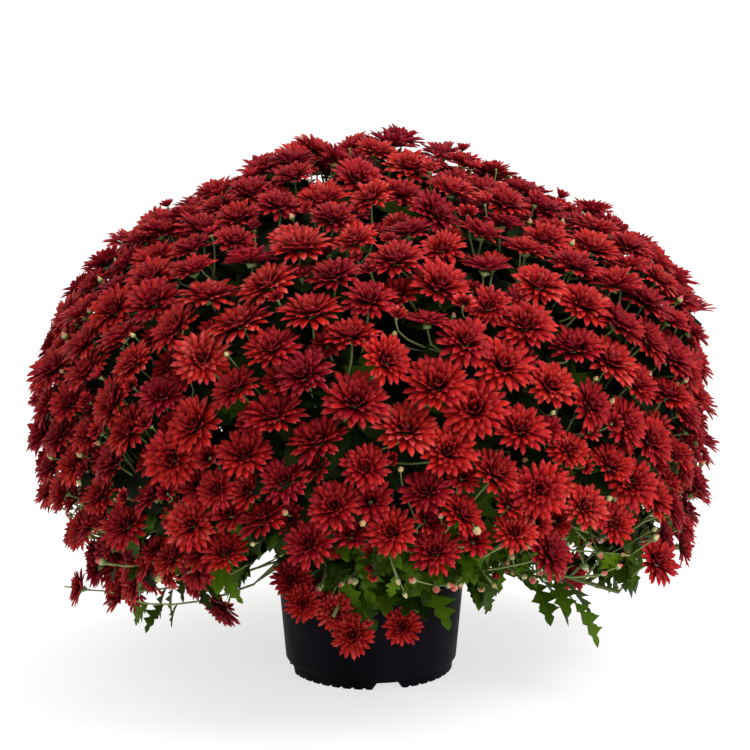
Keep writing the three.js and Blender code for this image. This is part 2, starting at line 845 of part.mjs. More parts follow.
/** What keeps leaves away: the pot, the stems, and the sprays with their stalks and blooms. */
function crowdOf(stems, sprays) {
  const crowd = new Crowd();
  const wall = POT.rimRadius - 5;
  for (let z = 4; z <= POT.height; z += 8)
    for (const p of circle(vec(0, 0, z), acrossOf(upright), wall, 72)) crowd.add(p, 6, "pot");
  for (const { rings, label } of stems)
    for (let i = 1; i < rings.length; i++)
      crowd.addLine(centreOf(rings[i - 1]), centreOf(rings[i]), STEM.footRadius, label);
  for (const { axis, blooms } of sprays) {
    crowd.addLine(axis.from, axis.to, SPRAY.baseRadius, "spray");
    for (const { bloom, stalk } of blooms) {
      crowd.addLine(...stalk, 3, "spray");
      for (const p of discPoints(bloom)) crowd.add(p, 5, "spray");
    }
  }
  return crowd;
}

function makePlant() {
  const blooms = placeBlooms();
  makeRoom(blooms);
  const axes = sprayAxes();
  const nearest = (bloom) => axes.reduce((a, b) => (apart(b, bloom) < apart(a, bloom) ? b : a));
  const counts = new Map(axes.map((axis) => [axis, 0]));
  for (const bloom of blooms) counts.set(nearest(bloom), counts.get(nearest(bloom)) + 1);
  const isBare = (axis) => counts.get(axis) < SPRAY.fewest;
  const sprays = axes.filter((axis) => !isBare(axis)).map((axis) => new Spray(axis));
  shareBlooms(sprays, blooms);

  const stems = axes.map((axis, k) => {
    const curve = stemCurve(k, axis, isBare(axis) ? -SPRAY.length / 2 : -JOINT_GAP);
    const many = counts.get(axis) < 12 ? MOST_LEAVES : MORE_LEAVES;
    const bands = k < STEM.count / 2 ? FEW_LEAVES : many;
    const label = String(k + 1).padStart(2, "0");
    return { axis, curve, bands, label, rings: stemRings(curve, axis, bands) };
  });
  const crowd = crowdOf(stems, sprays);
  const feet = stems.map(({ rings }) => [centreOf(rings[0]), centreOf(rings[1])]);

  const plant = new THREE.Group();
  plant.add(named("pot", makePot(), material("pot", 0.45)));
  plant.add(named("soil", makeSoil(feet), material("soil", 0.95)));
  const [leafLook, bloomLook] = [material("leaf", 0.6), material("bloom", 0.55)];
  const random = seeded(4);
  for (const { axis, curve, bands, label, rings } of stems) {
    const shoot = new Shoot(rings);
    growLeaves(shoot, curve, axis, bands, label, crowd, random);
    plant.add(named(`leafy_stem_${label}`, shoot.geometry(), leafLook));
    const spray = sprays.find((one) => one.axis === axis);
    if (spray) plant.add(named(`spray_${label}`, spray.shoot.geometry(), bloomLook));
  }
  return plant;
}

export default makePlant();
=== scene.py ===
# %% [markdown]
# # A pot chrysanthemum in full bloom
#
# A garden chrysanthemum is grown in a low pan until its many branching stems make one dome.
# Each stem carries leaves and ends in a spray, whose thin stalks fan out to some fifteen flower
# heads. A head is not one flower but a basket of them: every petal is a floret of its own, and
# they stand in rings, long ones outside and short ones in the dark middle.
#
# The solids already say where each head looks, how wide it is, where its stalk starts and where
# each leaf hangs. This lesson reads that back and puts a fine head, stalk or leaf on each.

import math

import bpy
import numpy as np
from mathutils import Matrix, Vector


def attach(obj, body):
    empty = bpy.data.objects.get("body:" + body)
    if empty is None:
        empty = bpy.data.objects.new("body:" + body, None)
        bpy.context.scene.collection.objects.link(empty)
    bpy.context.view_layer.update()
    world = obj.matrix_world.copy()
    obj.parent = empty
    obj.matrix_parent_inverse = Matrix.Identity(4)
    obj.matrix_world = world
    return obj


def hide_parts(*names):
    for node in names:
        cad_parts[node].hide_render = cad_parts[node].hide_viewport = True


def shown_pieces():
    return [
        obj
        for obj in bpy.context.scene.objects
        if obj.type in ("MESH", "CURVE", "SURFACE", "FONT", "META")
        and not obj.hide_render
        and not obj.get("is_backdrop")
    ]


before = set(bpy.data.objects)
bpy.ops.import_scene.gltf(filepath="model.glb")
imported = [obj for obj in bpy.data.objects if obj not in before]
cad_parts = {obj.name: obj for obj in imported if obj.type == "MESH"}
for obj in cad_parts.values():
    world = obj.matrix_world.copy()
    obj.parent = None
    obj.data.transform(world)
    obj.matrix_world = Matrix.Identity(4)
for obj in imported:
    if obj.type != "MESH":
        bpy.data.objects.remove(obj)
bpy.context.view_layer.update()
MM = 0.001
TAU = 2 * math.pi
UP = np.array([0, 0, 1.0])
random = np.random.default_rng(11)


def draw(low, high, *shape):
    """An array of this shape, or one number, drawn evenly from low to high."""
    return random.uniform(low, high, shape or None)


# %% [markdown]
# ## Camera, floor and light
#
# A plant this size is looked at from a couple of metres away with a long lens, a little from
# above, so the dome keeps its round outline and the pot shows under its skirt. The light is a
# white studio's: a lamp high up at the front right, a wider one overhead, a weak one low down for
# the leaves under the skirt, and a white room. The floor glows a little, as lit paper does, so
# the shadow on it stays soft.

# %% Camera
AIM = Vector((0, 0, 0.312))
DISTANCE = 2.16
ELEVATION = math.radians(10)
scene = bpy.context.scene


def add_object(name, data):
    """A new object in the scene."""
    made = bpy.data.objects.new(name, data)
    scene.collection.objects.link(made)
    return made


def turned_to(way):
    """The rotation of a camera or a lamp that looks this way."""
    return way.to_track_quat("-Z", "Y").to_euler()


lens = bpy.data.cameras.new("camera")
lens.lens = 100
lens.shift_x = 4 / 750
camera = add_object("camera", lens)
behind = Vector((0, -math.cos(ELEVATION), math.sin(ELEVATION)))
camera.location = AIM + DISTANCE * behind
camera.rotation_euler = turned_to(-behind)
scene.camera = camera
scene.view_settings.view_transform = "Standard"
print("camera at", [round(x, 3) for x in camera.location])


# %% Shader maths as Python expressions
class Socket:
    """An output of a node, with the operators that a pattern needs. a + b adds a Math node."""

    def __init__(self, nodes, out):
        self.nodes, self.out = nodes, out

    def __add__(self, other):
        return self.nodes.maths("ADD", self, other)

    def __sub__(self, other):
        return self.nodes.maths("SUBTRACT", self, other)

    def __rsub__(self, other):
        return self.nodes.maths("SUBTRACT", other, self)

    def __mul__(self, other):
        return self.nodes.maths("MULTIPLY", self, other)

    __radd__ = __add__
    __rmul__ = __mul__


class Nodes:
    """The nodes of one material. add() makes any node; the other methods are its common uses."""

    def __init__(self, name, roughness, specular=0.5):
        self.material = bpy.data.materials.new(name)
        self.material.use_nodes = True
        self.tree = self.material.node_tree
        self.shader = self.tree.nodes["Principled BSDF"].inputs
        self.shader["Roughness"].default_value = roughness
        self.shader["Specular IOR Level"].default_value = specular

    def add(self, kind, settings=None, out=0, **sockets):
        """A node of this kind: its settings first, then the values or links of its inputs."""
        node = self.tree.nodes.new(kind)
        for key, value in (settings or {}).items():
            setattr(node, key, value)
        for key, value in sockets.items():
            self.feed(node.inputs[int(key[1:]) if key[1:].isdigit() else key], value)
        return Socket(self, node.outputs[out])

    def feed(self, socket, value):
        """Links a socket to another, or gives it a value."""
        if isinstance(value, Socket):
            self.tree.links.new(value.out, socket)
        else:
            socket.default_value = value

    def maths(self, operation, a, b=0.0, clamp=False):
        """A Math node."""
        return self.add("ShaderNodeMath", {"operation": operation, "use_clamp": clamp}, i0=a, i1=b)

    def mix(self, factor, a, b):
        """Colour a where factor is 0 and b where it is 1."""
        colours = [c if isinstance(c, Socket) else (*c, 1) for c in (a, b)]
        settings = {"data_type": "RGBA", "clamp_factor": True}
        return self.add("ShaderNodeMix", settings, out=2, i0=factor, i6=colours[0], i7=colours[1])

    def coats(self, colour, *layers):
        """The colour under one layer after another, each a factor and its colour."""
        for factor, other in layers:
            colour = self.mix(factor, colour, other)
        return colour

    def spots(self, low, high, *noise):
        """0 to 1 where noise with these settings goes from low to high."""
        return self.ramp(self.noise(*noise), low, high)

    def attribute(self, name, out="Fac"):
        """What a piece's attribute says at each point."""
        return self.add("ShaderNodeAttribute", {"attribute_name": name}, out=out)

    def channels(self, name):
        """The four numbers that each point of a piece keeps in its colour attribute."""
        split = self.add("ShaderNodeSeparateColor", Color=self.attribute(name, "Color")).out.node
        return [*(Socket(self, out) for out in split.outputs), self.attribute(name, "Alpha")]

    def noise(self, scale, detail=2.0, seed=0.0):
        """Soft random spots on Object coordinates, from 0 to 1."""
        place = self.add("ShaderNodeTexCoord", out="Object")
        place = self.add("ShaderNodeMapping", Vector=place, Location=(seed, seed * 0.7, seed * 0.3))
        return self.add("ShaderNodeTexNoise", Vector=place, Scale=scale, Detail=detail)

    def ramp(self, value, low, high):
        """0 below low and 1 above high, straight in between."""
        return self.maths("MULTIPLY", value - low, 1 / (high - low), clamp=True)

    def finish(self, colour, roughness=None, bump=None, depth=0.0):
        """Feeds the shader and returns the material."""
        self.feed(self.shader["Base Color"], colour)
        if roughness:
            self.feed(self.shader["Roughness"], roughness)
        if bump:
            self.feed(self.shader["Normal"], self.add("ShaderNodeBump", Height=bump, Distance=depth))
        return self.material


# %% Floor, room and lamps
HALF = 30  # of the floor's side, in metres
BELOW = -0.0004  # the floor is this far under the foot of the pot
sheet = bpy.data.meshes.new("floor")
corners = [(x * HALF, y * HALF, BELOW) for x, y in ((-1, -1), (1, -1), (1, 1), (-1, 1))]
sheet.from_pydata(corners, [], [(0, 1, 2, 3)])
floor = add_object("floor", sheet)
floor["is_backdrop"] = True
nodes = Nodes("pale_floor", 0.9)
nodes.feed(nodes.shader["Emission Color"], (1, 1, 1, 1))
nodes.feed(nodes.shader["Emission Strength"], 0.68)
sheet.materials.append(nodes.finish((0.42, 0.42, 0.42, 1)))


def lamp(name, place, size, power):
    """A square lamp of this size in metres that looks at the plant."""
    light = bpy.data.lights.new(name, "AREA")
    light.size, light.energy = size, power
    made = add_object(name, light)
    made.location = place
    made.rotation_euler = turned_to(AIM - Vector(place))


lamp("key", (1.55, -1.35, 2.0), 0.9, 38)
lamp("top", (0.2, 0.3, 2.3), 1.2, 18)
lamp("low", (1.0, -1.7, 0.35), 0.5, 5)
scene.world = bpy.data.worlds.new("room")
scene.world.use_nodes = True
room = scene.world.node_tree.nodes["Background"].inputs
room["Color"].default_value = (1, 1, 1, 1)
room["Strength"].default_value = 1.0

# %% [markdown]
# ## Colours
#
# Petals of this kind are velvety crimson, scarlet where they are lit and a little pinker on their
# back. The material paints each petal nearly black-red at its foot and darker still in the inner
# rings of the head, which is painted shade, and paler along the rim and at the tip, which is a
# painted highlight. Some heads are fresher, some older and bluer, and on a few petals the tip is
# painted much paler, as a stronger painted highlight. Every point of a petal keeps four numbers:
# how far along it lies, how near the rim, a random tone and how deep in the head its ring is. The
# material only mixes colours by those numbers, so it follows each petal however that is bent.


# %% Petal
def petal_finish():
    """Crimson to scarlet by tone and paler on the back, with painted shade at the foot and in the inner
    rings and a painted highlight at rim and tip.
    """
    nodes = Nodes("petal", 0.42, 0.06)
    along, rim, tone, inner = nodes.channels("look")
    fresh = nodes.mix(nodes.ramp(tone, 0.15, 0.85), (0.22, 0.0005, 0.013), (0.51, 0.012, 0.008))
    # A few petals get a much paler tip: a painted highlight.
    painted_highlight_tips = nodes.ramp(tone, 0.9, 1.0) * nodes.ramp(along, 0.5, 1.0)
    colour = nodes.coats(
        # Nearly black-red at the foot: painted shade under the overlapping petals.
        (0.10, 0.0, 0.002),
        (nodes.ramp(along, 0.05, 0.8), fresh),
        (nodes.spots(0.5, 0.75, 900, 1.0) * 0.3, (0.12, 0.001, 0.005)),
        # Paler along the rim and towards the tip: a painted highlight.
        (rim * along * along * 0.3, (0.60, 0.06, 0.05)),
        (nodes.ramp(along, 0.8, 1.0) * 0.3, (0.62, 0.09, 0.08)),
        (painted_highlight_tips * 0.3, (0.75, 0.2, 0.17)),
        (nodes.attribute("back") * 0.35, (0.36, 0.02, 0.05)),
        # Darker in the inner rings: painted shade in the sunken middle of the head.
        (inner * 0.7, (0.06, 0.0, 0.002)),
    )
    return nodes.finish(colour)


petal = petal_finish()


# %% Leaf, stalk and bud
def leaf_finish():
    """Dull green, paler along the midrib and the side veins, and yellower on some leaves."""
    nodes = Nodes("leaf", 0.5, 0.07)
    along, out, tone, _ = nodes.channels("look")
    vein = nodes.maths("FRACT", along * 6.0 - out * 1.6)
    ridge = nodes.ramp(nodes.maths("ABSOLUTE", vein - 0.5), 0.44, 0.5)
    rib = nodes.maths("MAXIMUM", 1 - nodes.ramp(out, 0.02, 0.12), ridge * 0.6)
    colour = nodes.coats(
        # Nearly black at tone 0; leaves inside the dome get tones near it as painted shade.
        (0.002, 0.006, 0.0005),
        (tone, (0.085, 0.17, 0.003)),
        (nodes.spots(0.35, 0.7, 160) * tone * 0.4, (0.016, 0.045, 0.001)),
        (rib * tone * 0.45, (0.12, 0.19, 0.02)),
        (nodes.attribute("back") * tone * 0.5, (0.08, 0.12, 0.02)),
    )
    return nodes.finish(colour, bump=rib, depth=0.0004)


def stalk_finish():
    """Yellow-green, browner near the soil: along runs from 0 there to 1 at the head."""
    nodes = Nodes("stalk", 0.5, 0.2)
    along, _, tone, _ = nodes.channels("look")
    green = nodes.mix(tone, (0.15, 0.21, 0.055), (0.27, 0.33, 0.11))
    above = (nodes.ramp(along, 0.1, 0.8), green)
    flecks = (nodes.spots(0.4, 0.7, 300) * 0.3, (0.09, 0.11, 0.03))
    return nodes.finish(nodes.coats((0.055, 0.065, 0.018), above, flecks))


def bud_finish():
    """Green scales at the foot, then cream, with the colour of the petals at the tip."""
    nodes = Nodes("bud", 0.45)
    along, _, tone, _ = nodes.channels("look")
    tip = nodes.mix(nodes.ramp(tone, 0.2, 0.7), (0.46, 0.44, 0.18), (0.46, 0.03, 0.05))
    colour = nodes.coats(
        (0.09, 0.15, 0.03),
        (nodes.ramp(along, 0.30, 0.55), (0.42, 0.46, 0.17)),
        (nodes.ramp(along, 0.45, 0.72), tip),
        (nodes.noise(500) * 0.2, (0.25, 0.24, 0.10)),
    )
    return nodes.finish(colour)


leaf, stalk, bud = leaf_finish(), stalk_finish(), bud_finish()


# %% Pot and soil
def plastic_finish():
    """Thin black plastic with a soft sheen that is a little cloudy."""
    nodes = Nodes("black_plastic", 0.4, 0.02)
    colour = nodes.mix(nodes.spots(0.35, 0.7, 14, 3.0), (0.0015, 0.0013, 0.002), (0.006, 0.0045, 0.008))
    roughness = 0.42 + nodes.noise(40, 3.0, 2.0) * 0.22
    return nodes.finish(colour, roughness, nodes.noise(120), 0.0003)


def soil_finish():
    """Peat: near-black crumbs with a few pale ones."""
    nodes = Nodes("peat", 0.95)
    crumbs = nodes.noise(420, 4.0)
    brown = (nodes.ramp(crumbs, 0.4, 0.7), (0.06, 0.038, 0.022))
    pale = (nodes.spots(0.72, 0.78, 700, 1.0, 5.0), (0.35, 0.33, 0.28))
    return nodes.finish(nodes.coats((0.012, 0.008, 0.005), brown, pale), bump=crumbs, depth=0.001)


plastic, peat = plastic_finish(), soil_finish()
print("materials:", [m.name for m in bpy.data.materials])

# %% [markdown]
# ## From arrays to a piece
#
# Every form here is a closed skin of triangles, worked out as whole arrays. A batch is its
# points, its faces and the numbers its points keep, and batches are stacked into one mesh. Rims
# are marked sharp, so that a petal is smooth on both sides of its edge without looking round.


# %% Vectors
def unit(v):
    """Vectors of length 1."""
    return v / np.linalg.norm(v, axis=-1, keepdims=True)


def size_of(v):
    """The lengths of vectors."""
    return np.linalg.norm(v, axis=-1)


def triangles():
    """How many triangles all pieces have together."""
    return sum(len(o.data.polygons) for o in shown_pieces())


def square_to(n):
    """Two unit vectors square to each n and to each other: u x v = n."""
    u = unit(np.cross(np.where(np.abs(n[..., 2:]) > 0.9, [1.0, 0, 0], UP), n))
    return u, np.cross(n, u)


def crosswise(v, n):
    """Unit vectors along v after taking away what runs along the unit vectors n."""
    return unit(v - np.einsum("ij,ij->i", v, n)[:, None] * n)


def column(found, key):
    """One value of every entry in a list of heads or leaves, as an array."""
    return np.array([entry[key] for entry in found])


def columns(found, keys):
    """The same for several keys, which blanks part."""
    return [column(found, key) for key in keys.split()]


def look_of(along, rim=0.0, tone=0.5, inner=0.0):
    """The four numbers of each point, from arrays that fit each other."""
    return np.stack(np.broadcast_arrays(along, rim, tone, inner), axis=-1)


# %% Skins
def rings_joined(levels, sides, first=0):
    """Triangles between neighbours in a stack of rings, their points numbered from first."""
    level, side = np.divmod(np.arange((levels - 1) * sides), sides)
    a, b = (first + level * sides + (side + k) % sides for k in (0, 1))
    return np.concatenate([np.stack([a, b, b + sides], 1), np.stack([a, b + sides, a + sides], 1)])


def poles_joined(levels, sides):
    """The same, closed by a single point before the first ring and one after the last."""
    k = np.arange(sides)
    after = (k + 1) % sides
    last = 1 + (levels - 1) * sides
    foot = np.stack([0 * k, 1 + after, 1 + k], 1)
    tip = np.stack([last + k, last + after, 0 * k + last + sides], 1)
    return np.concatenate([foot, rings_joined(levels, sides, 1), tip])


def turned_out(points, faces):
    """The faces, turned round if the volume they enclose, a sum of a . (b x c), is negative."""
    a, b, c = (points[faces[:, k]] for k in range(3))
    return faces if np.einsum("ij,ij->", a, np.cross(b, c)) > 0 else faces[:, ::-1]


# %% Batches
class Batch:
    """Points (k, n, 3) of k copies of one skin, its faces (m, 3), and look (k, n, 4) per point."""

    def __init__(self, points, faces, look, back=None, sharp=None):
        count, per = points.shape[:2]
        faces = turned_out(points[0], faces)
        self.points = points.reshape(-1, 3)
        self.faces = (faces + per * np.arange(count)[:, None, None]).reshape(-1, 3)
        self.look = np.broadcast_to(look, (count, per, 4)).reshape(-1, 4)
        self.back = np.tile(np.zeros(len(faces)) if back is None else back, count)
        self.sharp = np.tile(np.zeros(per, int) if sharp is None else sharp, count)


def make_piece(name, batches, material, slot, *replaced):
    """Stacks batches into one mesh. An edge is sharp if both ends have the same sharp number."""
    points, look, back, sharp = (
        np.concatenate([getattr(b, key) for b in batches]) for key in ("points", "look", "back", "sharp")
    )
    starts = np.cumsum([0] + [len(b.points) for b in batches])
    faces = np.concatenate([b.faces + s for b, s in zip(batches, starts)])
    mesh = bpy.data.meshes.new(name)
    mesh.vertices.add(len(points))
    mesh.vertices.foreach_set("co", points.ravel())
    mesh.loops.add(faces.size)
    mesh.loops.foreach_set("vertex_index", faces.ravel().astype(np.int32))
    mesh.polygons.add(len(faces))
    mesh.polygons.foreach_set("loop_start", np.arange(len(faces), dtype=np.int32) * 3)
    mesh.update(calc_edges=True)
    mesh.polygons.foreach_set("use_smooth", np.ones(len(faces), bool))
    ends = np.zeros(2 * len(mesh.edges), np.int32)
    mesh.edges.foreach_get("vertices", ends)
    low, high = sharp[ends.reshape(-1, 2)].T
    for title, kind, domain, field, values in (
        ("look", "FLOAT_COLOR", "POINT", "color", look.ravel()),
        ("back", "FLOAT", "FACE", "value", back),
        ("sharp_edge", "BOOLEAN", "EDGE", "value", (low == high) & (low > 0)),
    ):
        mesh.attributes.new(title, kind, domain).data.foreach_set(field, values)
    mesh.materials.append(material)
    piece = add_object(name, mesh)
    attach(piece, "root")
    if replaced:
        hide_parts(*replaced)


# %% [markdown]
# ## Reading the plan
#
# In a spray's solid every head is a star: a point in the middle, a ring of valleys and a ring of
# tips. Only the middle point is shared by ten triangles and has a flat ring of five points round
# it. From there the neighbours lead on to the calyx, and from that to the place where the stalk
# leaves the axis. A leaf is found the same way, by the point in the middle of its upper face,
# which eleven triangles share.


# %% The solids as merged meshes
class Skin:
    """A CAD node's triangles with equal points merged, and which points are joined to which."""

    def __init__(self, name):
        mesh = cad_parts[name].data
        loose = np.zeros((len(mesh.vertices), 3))
        mesh.vertices.foreach_get("co", loose.ravel())
        corners = np.zeros(len(mesh.loops), np.int32)
        mesh.loops.foreach_get("vertex_index", corners)
        keys = np.round(loose * 1e6).astype(np.int64)
        _, first, merged = np.unique(keys, axis=0, return_index=True, return_inverse=True)
        self.points = loose[first]
        self.faces = merged.ravel()[corners].reshape(-1, 3)
        self.sharing = np.bincount(self.faces.ravel(), minlength=len(self.points))

    def joined(self, *group):
        """The points joined to any of the group, without the group."""
        hit = np.isin(self.faces, group).any(axis=1)
        return np.setdiff1d(self.faces[hit], group)


PETALS = 5
THICK = 3.2 * MM  # of a solid petal
HEART = 0.75 * THICK  # the middle point stands this far above the middle plane
LOW = 0.5 * THICK  # and the valleys this far below it
VALLEY_SHARE = 0.7
CALYX_REACH = 30 * MM
CLOSE = 0.05 * MM
# Fine petals end in points, so a head is a little wider than its solid, and more so at the crown,
# which flowers first: the growth at these heights in metres.
HEAD_GROWTH = ([0.2, 0.34], [1.0, 1.18])


def read_heads(name):
    """Centre, normal, radius, neck and root of every head in a spray, as a list."""
    skin = Skin(name)
    points = skin.points
    found = []
    for heart in np.flatnonzero(skin.sharing == 2 * PETALS):
        around = skin.joined(heart)
        if len(around) != 2 * PETALS:
            continue
        nearest = np.argsort(size_of(points[around] - points[heart]))
        valleys = points[around[nearest[:PETALS]]]
        middle = valleys.mean(0)
        rise = points[heart] - middle
        height = size_of(rise)
        spread = size_of(valleys - middle)
        if abs(height - HEART - LOW) > CLOSE or np.ptp(spread) > CLOSE:
            continue
        normal = rise / height
        calyx = skin.joined(heart, *around)
        calyx = calyx[size_of(points[calyx] - middle) < CALYX_REACH]
        base = np.setdiff1d(skin.joined(*calyx), [heart, *around])
        radius = spread.mean() / VALLEY_SHARE
        neck, root = points[calyx].mean(0), points[base].mean(0)
        found.append(dict(centre=middle + LOW * normal, normal=normal, radius=radius, neck=neck, root=root))
    return found


sprays = {name: read_heads(name) for name in sorted(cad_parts) if name.startswith("spray_")}
heads = [head for found in sprays.values() for head in found]
radii = column(heads, "radius") / MM
print("sprays:", len(sprays), "heads:", len(heads), "radii mm:", radii.min().round(1), radii.max().round(1))


# %% Stems and their leaves
LEAF_POINTS = 11  # round the rim of a solid leaf
SOLID_LEAF = 1.8 * MM
LEAF_SAG = 0.2  # how far the tip hangs below the neck, as a share of the length


def read_stem(name):
    """The middle line (k, 3) of a stem from foot to tip, and its leaves."""
    skin = Skin(name)
    points = skin.points
    leaves, leaf_points = [], []
    for top in np.flatnonzero(skin.sharing == LEAF_POINTS):
        rim = skin.joined(top)
        if len(rim) != LEAF_POINTS:
            continue
        under = [i for i in skin.joined(*rim) if skin.sharing[i] == LEAF_POINTS + 1]
        gaps = [size_of(points[i] - points[top]) for i in under]
        if not gaps or abs(min(gaps) - SOLID_LEAF) > 2 * CLOSE:
            continue
        below = under[int(np.argmin(gaps))]
        keel = np.setdiff1d(skin.joined(below), [*rim, top])
        pair = np.intersect1d(skin.joined(*keel), rim)
        neck = points[pair].mean(0)
        far = points[rim][np.argmax(size_of(points[rim] - neck))]
        up = unit(points[top] - points[below])
        length = size_of(far - neck) / math.hypot(1, LEAF_SAG)
        forward = unit(far - neck + up * LEAF_SAG * length)
        base = np.setdiff1d(skin.joined(*keel, *pair), [*rim, below, top])
        leaves.append(dict(neck=neck, forward=forward, up=up, length=length, root=points[base].mean(0)))
        leaf_points += [top, below, *rim, *keel]
    rest = points[np.setdiff1d(np.arange(len(points)), leaf_points)]
    gap = size_of(rest[:, None] - rest[None])
    rings = np.unique(np.round(rest[np.argsort(gap, axis=1)[:, :3]].mean(1), 6), axis=0)
    line = [rings[np.argmin(rings[:, 2])]]
    left = [r for r in rings if not np.allclose(r, line[0])]
    while left:
        line.append(left.pop(int(np.argmin([size_of(r - line[-1]) for r in left]))))
    return np.array(line), leaves


stems = {name: read_stem(name) for name in sorted(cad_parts) if name.startswith("leafy_stem")}
print("stems:", len(stems), "leaves:", sum(len(found) for _, found in stems.values()))

# %% [markdown]
# ## One flower head
#
# A petal is a narrow leaf of tissue with a shallow groove along it. Its middle line leaves the
# head at one angle and ends at another, so it is a small arc; its width grows quickly and ends in
# a blunt point. A long petal is a foot point, two cross-sections of four points and a tip; the
# short ones in the middle do with one cross-section. Rings of petals differ only in number,
# length and steepness, so a head is a table of rings. The second ring is almost as long as the
# first and stands in its gaps, which makes the head a full disc. A head that has only just opened
# has fewer petals, all still standing up.


# %% The petal's skin
class PetalForm:
    """A petal's cross-sections, as shares of its length and of its greatest width.

    The four points of a cross-section are its left rim, groove, right rim and back.
    """

    def __init__(self, stations, widths):
        self.stations, self.widths = np.array(stations), np.array(widths)
        sections = len(stations) - 2
        self.size = 4 * sections + 2
        self.faces = poles_joined(sections, 4)
        self.back = np.tile([0.0, 0, 1, 1], len(self.faces) // 4)
        self.sharp = np.array([3] + [1, 0, 2, 0] * sections + [3])
        self.rim = np.array([0.0] + [1, 0, 1, 0] * sections + [1])
        self.along = np.concatenate([[0.0], np.repeat(self.stations[1:-1], 4), [1.0]])


LONG_PETAL = PetalForm([0.0, 0.45, 0.83, 1.0], [0.0, 0.92, 0.82, 0.0])
SHORT_PETAL = PetalForm([0.0, 0.7, 1.0], [0.0, 1.0, 0.0])
# Rings of a head: form, petals, foot radius, length, first and last steepness in degrees, width.
# Lengths are shares of the head's radius.
RINGS = [
    (LONG_PETAL, 21, 0.10, 1.00, 22, -12, 0.25),
    (LONG_PETAL, 19, 0.09, 0.91, 38, 6, 0.24),
    (SHORT_PETAL, 15, 0.08, 0.76, 54, 28, 0.26),
    (SHORT_PETAL, 12, 0.06, 0.58, 66, 50, 0.22),
    (SHORT_PETAL, 8, 0.03, 0.42, 74, 86, 0.18),
]
FEW_RINGS = [
    (LONG_PETAL, 14, 0.08, 0.97, 24, -6, 0.32),
    (LONG_PETAL, 11, 0.08, 0.83, 42, 16, 0.28),
    (SHORT_PETAL, 8, 0.05, 0.58, 62, 48, 0.28),
]
YOUNG_RINGS = [(LONG_PETAL, 10, 0.10, 0.95, 16, 0, 0.42), (SHORT_PETAL, 7, 0.06, 0.80, 30, 20, 0.38)]
FOOT_HEIGHT = -0.17  # of the radius, where all petals start
CLOSED = math.radians(62)  # how much steeper the petals of a closed head stand


PETAL_THICKNESS = 0.55 * MM
GROOVE = 0.34  # how far the rims rise, as a share of half the width


def petal_points(form, foot, length, first, last, width, turn, height):
    """Points (..., form.size, 3) of petals about a head's +Z. Steepness goes from first to last.

    The middle line is the integral of (cos a, sin a), which for an even change of a is
    (sin a - sin a0, cos a0 - cos a) / (a1 - a0).
    """
    forms = np.broadcast_arrays(foot, length, first, last, width, turn, height)
    foot, length, first, last, width, turn, height = (x[..., None] for x in forms)
    bend = last - first
    bend = np.where(np.abs(bend) < 1e-3, 1e-3, bend)
    a = first + bend * form.stations
    out = foot + length * (np.sin(a) - np.sin(first)) / bend
    up = height + length * (np.cos(first) - np.cos(a)) / bend
    half = 0.5 * width * form.widths
    lift = GROOVE * half
    side = np.stack([-half, 0 * half, half, 0 * half], axis=-1)
    rise = np.stack([lift, 0 * half, lift, -PETAL_THICKNESS + 0 * half], axis=-1)
    radial = out[..., None] - rise * np.sin(a)[..., None]
    above = up[..., None] + rise * np.cos(a)[..., None]
    c, n = np.cos(turn)[..., None], np.sin(turn)[..., None]
    local = np.stack([radial * c - side * n, radial * n + side * c, above], axis=-1)
    body = local[..., 1:-1, :, :].reshape(*local.shape[:-3], form.size - 2, 3)
    return np.concatenate([local[..., 0, 1:2, :], body, local[..., -1, 1:2, :]], axis=-2)


# %% Heads from petals
def petals_of(found, rings=RINGS):
    """A batch for each ring of these heads. open is 1 for a flat head and 0 for a bud."""
    centre, normal, radius, opened, tone = columns(found, "centre normal radius open tone")
    radius, opened, tone = radius[:, None], opened[:, None], tone[:, None]
    u, v = square_to(normal)
    spin = draw(0, TAU, len(found), 1)
    steep = (1 - opened) * CLOSED
    made = []
    for level, (form, count, foot, length, first, last, width) in enumerate(rings):
        jitter = draw(-1, 1, 6, len(found), count)
        turn = spin + TAU * (np.arange(count) + 0.5 * level) / count + 0.09 * jitter[0]
        local = petal_points(
            form,
            foot * radius,
            length * radius * (1 + 0.10 * jitter[1]),
            np.radians(first + 8 * jitter[2]) + steep,
            np.radians(last + 16 * jitter[3]) + steep * 1.25,
            width * radius * (1 + 0.12 * jitter[4]) * (0.75 + 0.25 * opened),
            turn,
            FOOT_HEIGHT * radius,
        )
        points = centre[:, None, None] + sum(
            local[..., k : k + 1] * axis[:, None, None] for k, axis in enumerate((u, v, normal))
        )
        own_tone = np.clip(tone + 0.22 * jitter[5], 0, 1)[..., None]
        # The rim number carries a painted highlight, and the ring's depth the painted shade of the middle.
        look = look_of(form.along, form.rim, own_tone, level / (len(rings) - 1))
        points, look = points.reshape(-1, form.size, 3), look.reshape(-1, form.size, 4)
        made.append(Batch(points, form.faces, look, form.back, form.sharp))
    return made


# %% [markdown]
# ## Stalks, and the green cup under a head
#
# A stalk is a thin tube that leaves the axis sideways and turns up into the head: a quadratic
# curve from its root to its neck. A tube's ring of points is carried along without twisting, by
# taking away from each direction the part that runs along the tube.


